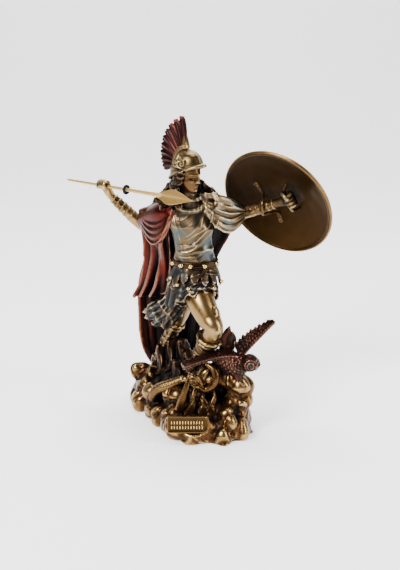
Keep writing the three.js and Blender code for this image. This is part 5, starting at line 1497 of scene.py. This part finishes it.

# %% [markdown]
# A cast bronze finish is dark in the hollows and rubbed bright on the ridges. Three values are stored on
# each point for it: how sharp a ridge or groove it sits on, how broad a swelling, and how much of the sky
# it sees. The last one comes from rays sent out over one coarse skin of the whole figure, and it paints
# shade into the colour where little sky is seen, and painted light where much is. The table names each
# piece, with its shape, its slot in the record and its finish.

# %% How open each place is
pieces = {
    "rocks": (rock_skin, "bronze", "rock"), "trunks": (trunk_shape, "dark_bronze", "bark"),
    "tablet": (tablet_slab, "bronze", "shield"), "tablet_strokes": (tablet_strokes, "gilt", "gilt"),
    "serpent": (serpent_body, "bronze", "rock"), "bare_limbs": (bare_limbs, "bronze", "skin"),
    "head": (head_shape, "bronze", "face"), "helmet": (helmet_shape, "bronze", "helmet"),
    "crest_plumes": (crest_plumes, "red_patina", "plume"), "crest_band": (crest_band, "bronze", "bronze"),
    "hair": (hair_shape, "dark_bronze", "dark"), "tunic": (tunic, "blue_patina", "tunic"),
    "belt": (belt_shape, "bronze", "leather"), "studs": (stud_shape, "gilt", "gilt"),
    "cape": (cape_shape, "red_patina", "cape"), "cape_panel": (panel_shape, "red_patina", "red"),
    "bracers": (bracers, "bronze", "bronze"), "boots": (boot_shape, "bronze", "bronze"),
    "owl": (owl_shape, "bronze", "owl"), "owl_eyes": (owl_eyes, "black", "black"),
    "shield_disc": (disc_shape, "shield_bronze", "shield"),
    "shield_strap": (strap_shape, "shield_bronze", "shield"),
    "spear_rod": (spear_shape, "spear_brass", "brass"), "spear_ring": (ring_shape, "black", "black"),
}
RAYS, RAY_LENGTH = 32, 60


def openness(shapes):
    """Places on a coarse skin of everything, and how far rays go from each, as a share of their length."""
    coarse = fused(shapes, 1.5, 1)
    facing = normals_of(coarse)
    tree = BVHTree.FromPolygons(coarse.points.tolist(), coarse.quads.tolist())
    turn = np.arange(RAYS) * math.pi * (3 - math.sqrt(5))
    rise = np.sqrt((np.arange(RAYS) + 0.5) / RAYS)
    local = np.stack([rise * np.cos(turn), rise * np.sin(turn), np.sqrt(1 - rise ** 2)], -1)
    across = unit(np.cross(facing, [0.3, 0.5, 0.81]))
    over = np.cross(facing, across)
    ways = local @ np.stack([across, over, facing], 1)
    starts = coarse.points + 0.9 * facing
    reach = lambda start, way: (tree.ray_cast(start, way, RAY_LENGTH)[3] or RAY_LENGTH) / RAY_LENGTH
    free = [sum(reach(start, way) for way in fan) / RAYS
            for start, fan in zip(starts.tolist(), ways.tolist())]
    return coarse.points, averaged(np.array(free), links_of(coarse))


# Painted shade: these values darken the colour wherever little sky is seen.
open_places, open_values = openness([shape for shape, slot, finish in pieces.values()])
print("open places:", len(open_places), "mean", open_values.mean().round(2))

# %% [markdown]
# Now the shapes become Blender pieces. Every piece rides on the root body, stands in for its plain node,
# and carries the three values. The inside of the cape, behind her legs, gets more painted shade.

# %% Pieces
stands_in = {"shield_disc": "shield", "shield_strap": "shield", "spear_rod": "spear",
             "spear_ring": "spear_collar"}


def stored(mesh, name, values):
    layer = mesh.attributes.new(name, "FLOAT", "POINT")
    layer.data.foreach_set("value", np.ascontiguousarray(values, dtype=np.float32))


def nearest(places, values, spots):
    """The value at the place nearest to each spot."""
    tree = kdtree.KDTree(len(places))
    for i, place in enumerate(places.tolist()):
        tree.insert(place, i)
    tree.balance()
    return values[[tree.find(spot)[1] for spot in spots.tolist()]]


def curvature(shape, times):
    """How far each point stands out from the mean of its surroundings, in millimetres."""
    links = links_of(shape)
    return ((shape.points - averaged(shape.points, links, times)) * normals_of(shape)).sum(1)


def piece(name, shape, node):
    mesh = mesh_of(shape, name)
    mesh.shade_smooth()
    stored(mesh, "fine", curvature(shape, 3))
    stored(mesh, "broad", curvature(shape, 24))
    sky = averaged(nearest(open_places, open_values, shape.points), links_of(shape), 3)
    # Painted shade: the open sky is lowered on the inside of the cape that faces front, behind her legs.
    if name == "cape":
        x, inside_shade = shape.points[:, 0], np.clip(0.3 - 1.6 * normals_of(shape)[:, 1], 0, 1)
        sky -= 0.5 * averaged(inside_shade, links_of(shape), 20) * np.clip((x + 34) / 12, 0, 1)
    stored(mesh, "open", sky)
    made = bpy.data.objects.new(name, mesh)
    bpy.context.scene.collection.objects.link(made)
    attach(made, "root")
    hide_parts(node)
    return made


statue = [piece(name, shape, stands_in.get(name, "figure_owl_and_rocks"))
          for name, (shape, slot, finish) in pieces.items()]
print(len(statue), "pieces with", sum(len(made.data.polygons) for made in statue), "faces in all")

# %% [markdown]
# Shader maths reads best as sums. A Wire holds one socket, and adding or multiplying Wires adds Math nodes.

# %% Shader maths
class Wire:
    """A socket of a material's node tree."""

    def __init__(self, tree, socket=None):
        self.tree = tree
        self.socket = socket

    def node(self, kind, settings=None, inputs=None, out=0):
        """Any node: its settings first, then the values or Wires of its sockets."""
        made = self.tree.nodes.new(kind)
        for name, value in (settings or {}).items():
            setattr(made, name, value)
        for key, value in (inputs or {}).items():
            if isinstance(value, Wire):
                self.tree.links.new(value.socket, made.inputs[key])
            else:
                made.inputs[key].default_value = value
        return Wire(self.tree, made.outputs[out])

    def maths(self, operation, *values):
        return self.node("ShaderNodeMath", {"operation": operation}, dict(enumerate(values)))

    def __add__(self, other):
        return self.maths("ADD", self, other)

    def __sub__(self, other):
        return self.maths("SUBTRACT", self, other)

    def __rsub__(self, other):
        return self.maths("SUBTRACT", other, self)

    def __mul__(self, other):
        return self.maths("MULTIPLY", self, other)

    __radd__, __rmul__ = __add__, __mul__

    def span(self, low, high):
        """0 below low and 1 above high, with a soft step between."""
        if high < low:
            return 1 - self.span(high, low)
        return self.node("ShaderNodeMapRange", {"interpolation_type": "SMOOTHSTEP"},
                         {"Value": self, 1: low, 2: high})

    def blend(self, a, b):
        """From colour a to colour b, by this share."""
        return self.node("ShaderNodeMix", {"data_type": "RGBA"}, {0: self, 6: a, 7: b}, out=2)

    def speckle(self, size, detail=3.0):
        """Noise of a size in millimetres, over the place in the figure's frame."""
        place = self.node("ShaderNodeTexCoord", out=3)
        return self.node("ShaderNodeTexNoise", None,
                         {"Vector": place, "Scale": 1 / (size * MM), "Detail": detail, "Roughness": 0.6})

    def stored(self, name):
        return self.node("ShaderNodeAttribute", {"attribute_name": name}, out=2)


def new_finish(name):
    """An empty material with its Principled shader."""
    made = bpy.data.materials.new(name)
    made.use_nodes = True
    return made, Wire(made.node_tree), made.node_tree.nodes["Principled BSDF"]


def plug(wire, shader, name):
    wire.tree.links.new(wire.socket, shader.inputs[name])


print("shader maths ready")

# %% [markdown]
# The cold-cast bronze has three tones: a dark wash left in the hollows, the brown-gold body, and pale metal
# where the finisher rubbed it. The dark tone also paints shade where little sky is seen, and the pale one
# adds painted light where much is. All finishes share this build, and differ in their tones and in how far
# they are rubbed.

# %% The rubbed patina
def patina(name, deep, body, lit, rub=0.3, wash_and_shade=0.62, rough=(0.3, 0.55), metal=0.95, grain=0.12, tint=None,
           blotch=1.0, sharp=3.0, broad=0.9, dim=None):
    made, start, shader = new_finish(name)
    shader.inputs["Specular IOR Level"].default_value = 0.15
    mottle = (start.speckle(14) * 0.6 + start.speckle(4) * 0.4 - 0.5) * blotch
    ridge = start.stored("fine") * sharp + (start.stored("broad") - 0.15) * broad
    open_sky = start.stored("open")
    # dim lowers the open sky along one axis, between two places in metres, so the colour darkens there.
    if dim:
        axis, clear, dark, amount = dim
        place = start.node("ShaderNodeSeparateXYZ", None, {0: start.node("ShaderNodeTexCoord", out=3)}, axis)
        open_sky = open_sky - place.span(clear, dark) * amount
    # Real dark wash in the grooves and painted shade where little sky is seen, in one mask.
    hollow = 1 - (open_sky + ridge * 0.32 + mottle * 0.5).span(wash_and_shade - 0.3, wash_and_shade + 0.22)
    # Rubbed wear on the ridges, with painted light where the sky is open.
    rubbed_and_lit = (ridge + (open_sky - 0.8) * 0.8 + mottle * 1.2 + (rub - 0.5)).span(-0.1, 1.3)
    tone = (*body, 1) if tint is None else start.speckle(16, 1).span(0.4, 0.62).blend((*body, 1), (*tint, 1))
    colour = hollow.blend(rubbed_and_lit.blend(tone, (*lit, 1)), (*deep, 1))
    plug(colour, shader, "Base Color")
    plug(hollow * (rough[1] - rough[0]) + (start.speckle(3) * 0.12 + (rough[0] - 0.05)), shader, "Roughness")
    plug(metal - hollow * 0.5 * metal, shader, "Metallic")
    height = start.speckle(0.6, 4) * 0.35 + start.speckle(2.2, 2)
    plug(start.node("ShaderNodeBump", None, {"Strength": 0.4, "Distance": grain * MM, "Height": height}),
         shader, "Normal")
    return made


# The dark tone of the wash in grooves, which is also the colour of painted shade.
DEEP = (0.004, 0.002, 0.0014)
finishes = {
    "helmet": patina("helmet gold bronze", DEEP, (0.09, 0.056, 0.023), (0.4, 0.29, 0.14), rub=0.33, wash_and_shade=0.75,
                     sharp=6, broad=0.5, blotch=0.6),
    # Near black: painted shade for the trunks in the dark between her legs.
    "bark": patina("dark trunk bronze", (0.003, 0.0015, 0.001), (0.018, 0.009, 0.005), (0.09, 0.05, 0.026),
                   rub=0.15, wash_and_shade=0.85, sharp=1.5, broad=0.3),
    "bronze": patina("antique bronze", DEEP, (0.055, 0.027, 0.01), (0.34, 0.22, 0.09), rub=0.3),
    # Its dim paints the shield's shade on the left forearm and fist, from x = 45 mm to 64 mm.
    "skin": patina("rubbed gold bronze", (0.006, 0.003, 0.001), (0.2, 0.115, 0.04), (0.5, 0.36, 0.17),
                   rub=0.4, wash_and_shade=0.5, rough=(0.28, 0.5), grain=0.04, blotch=0.3, broad=0.5,
                   dim=(0, 0.045, 0.064, 0.7)),
    # Darker than the bare limbs: painted shade on the face under the helmet's brim.
    "face": patina("brown gold bronze", (0.006, 0.003, 0.001), (0.085, 0.043, 0.017), (0.42, 0.28, 0.13),
                   rub=0.35, wash_and_shade=0.64, rough=(0.26, 0.5), grain=0.05, blotch=0.3, broad=0.8),
    # Its dim makes the tunic darker towards the bottom, from 142 mm down to 118 mm high.
    "tunic": patina("grey-gold bronze", DEEP, (0.095, 0.063, 0.033), (0.42, 0.31, 0.17), rub=0.34, wash_and_shade=0.68,
                    tint=(0.055, 0.066, 0.066), dim=(2, 0.142, 0.118, 0.42), sharp=2.6, broad=0.5),
    "red": patina("red patina", (0.003, 0.0008, 0.0006), (0.065, 0.01, 0.007), (0.22, 0.1, 0.06), rub=0.1,
                  wash_and_shade=0.78, rough=(0.28, 0.5), blotch=0.7, sharp=3, broad=1.1),
    # A darker copy of the red patina: painted shade over the cape, which hangs in shadow.
    "cape": patina("dark red patina", (0.0025, 0.0007, 0.0006), (0.06, 0.009, 0.006), (0.2, 0.08, 0.045),
                   rub=0.12, wash_and_shade=0.84, rough=(0.3, 0.5), blotch=0.8, sharp=2, broad=0.45),
    "plume": patina("plume red", (0.003, 0.0008, 0.0006), (0.03, 0.0075, 0.006), (0.13, 0.07, 0.05), rub=0.1,
                    wash_and_shade=0.75, rough=(0.3, 0.5), sharp=2.5, broad=0.6),
    "dark": patina("dark brown bronze", (0.003, 0.002, 0.002), (0.018, 0.01, 0.0065), (0.2, 0.125, 0.07),
                   rub=0.15, wash_and_shade=0.7),
    "leather": patina("dark leather bronze", (0.003, 0.002, 0.002), (0.035, 0.018, 0.01), (0.2, 0.12, 0.06),
                      rub=0.2, wash_and_shade=0.7, sharp=0.8, broad=0.1),
    "rock": patina("glossy gold bronze", (0.006, 0.002, 0.001), (0.07, 0.03, 0.01), (0.42, 0.27, 0.1),
                   rub=0.25, wash_and_shade=0.68, rough=(0.26, 0.45), grain=0.06, blotch=0.6, sharp=2, broad=0.6),
    "owl": patina("reddish bronze", DEEP, (0.04, 0.014, 0.01), (0.3, 0.19, 0.12), rub=0.2,
                  tint=(0.02, 0.011, 0.009)),
    "shield": patina("brown bronze", (0.01, 0.005, 0.0025), (0.052, 0.025, 0.007), (0.22, 0.13, 0.05),
                     rub=0.2, rough=(0.32, 0.5)),
    "brass": patina("pale brass", (0.05, 0.03, 0.01), (0.34, 0.2, 0.055), (0.6, 0.39, 0.13),
                    rub=0.5, wash_and_shade=0.2, rough=(0.42, 0.5), metal=0.8, grain=0.02, blotch=0.1),
    "gilt": patina("gilt", (0.05, 0.03, 0.01), (0.4, 0.26, 0.09), (0.7, 0.5, 0.22), rub=0.45, wash_and_shade=0.25,
                   rough=(0.2, 0.4), grain=0.03, blotch=0.2),
    "black": patina("black enamel", (0.002, 0.002, 0.002), (0.006, 0.006, 0.008), (0.03, 0.03, 0.035),
                    metal=0.0),
}
for made in statue:
    made.data.materials.append(finishes[pieces[made.name][2]])
print(len(finishes), "finishes")

# %% [markdown]
# A product photograph: a white sweep behind and below, a big soft light over the left, a narrower one at
# the right to draw edges on the metal, and a dim grey room that leaves dark reflections.

# %% Floor, light and camera
LAMP_AIM = (0, 0, 0.11)


def sweep():
    """A floor that curves up into a wall far behind."""
    bend = [(0.9 + 0.5 * math.sin(a), 0.5 - 0.5 * math.cos(a)) for a in np.linspace(0, math.pi / 2, 24)]
    profile = [(-2.0, 0.0), *bend, (1.4, 3.0)]
    places = [(x, y, z - 0.0003) for y, z in profile for x in (-3.0, 3.0)]
    mesh = bpy.data.meshes.new("sweep")
    mesh.from_pydata(places, [], [(2 * i, 2 * i + 1, 2 * i + 3, 2 * i + 2) for i in range(len(profile) - 1)])
    mesh.shade_smooth()
    made = bpy.data.objects.new("sweep", mesh)
    bpy.context.scene.collection.objects.link(made)
    paper, start, shader = new_finish("white paper")
    plug(start.speckle(30).blend((0.86, 0.86, 0.86, 1), (0.9, 0.9, 0.9, 1)), shader, "Base Color")
    shader.inputs["Roughness"].default_value = 0.8
    shader.inputs["Emission Color"].default_value = (1, 1, 1, 1)
    shader.inputs["Emission Strength"].default_value = 0.8
    mesh.materials.append(paper)


def lamp(name, place, size, power):
    light = bpy.data.lights.new(name, "AREA")
    light.shape, light.size, light.size_y, light.energy = "RECTANGLE", *size, power
    made = bpy.data.objects.new(name, light)
    made.location = place
    made.rotation_euler = (Vector(LAMP_AIM) - Vector(place)).to_track_quat("-Z", "Y").to_euler()
    bpy.context.scene.collection.objects.link(made)


sweep()
lamp("key", (-0.75, -0.85, 1.05), (0.6, 0.6), 44)
lamp("edge", (0.95, -0.35, 0.5), (0.2, 0.8), 11)
lamp("top", (0.1, 0.35, 1.2), (0.8, 0.5), 22)
world = bpy.data.worlds.new("room")
world.use_nodes = True
world.node_tree.nodes["Background"].inputs["Color"].default_value = (0.9, 0.94, 1, 1)
world.node_tree.nodes["Background"].inputs["Strength"].default_value = 0.08
bpy.context.scene.world = world

CAMERA_AIM, CAMERA_RISE, CAMERA_FAR = (0.0039, 0, 0.1115), math.radians(17), 0.85
lens = bpy.data.cameras.new("camera")
lens.lens, lens.clip_start = 69.5, 0.01
camera = bpy.data.objects.new("camera", lens)
camera.location = Vector(CAMERA_AIM) + CAMERA_FAR * Vector((0, -math.cos(CAMERA_RISE), math.sin(CAMERA_RISE)))
camera.rotation_euler = (math.pi / 2 - CAMERA_RISE, 0, 0)
bpy.context.scene.collection.objects.link(camera)
bpy.context.scene.camera = camera
print("camera:", lens.lens, "mm")
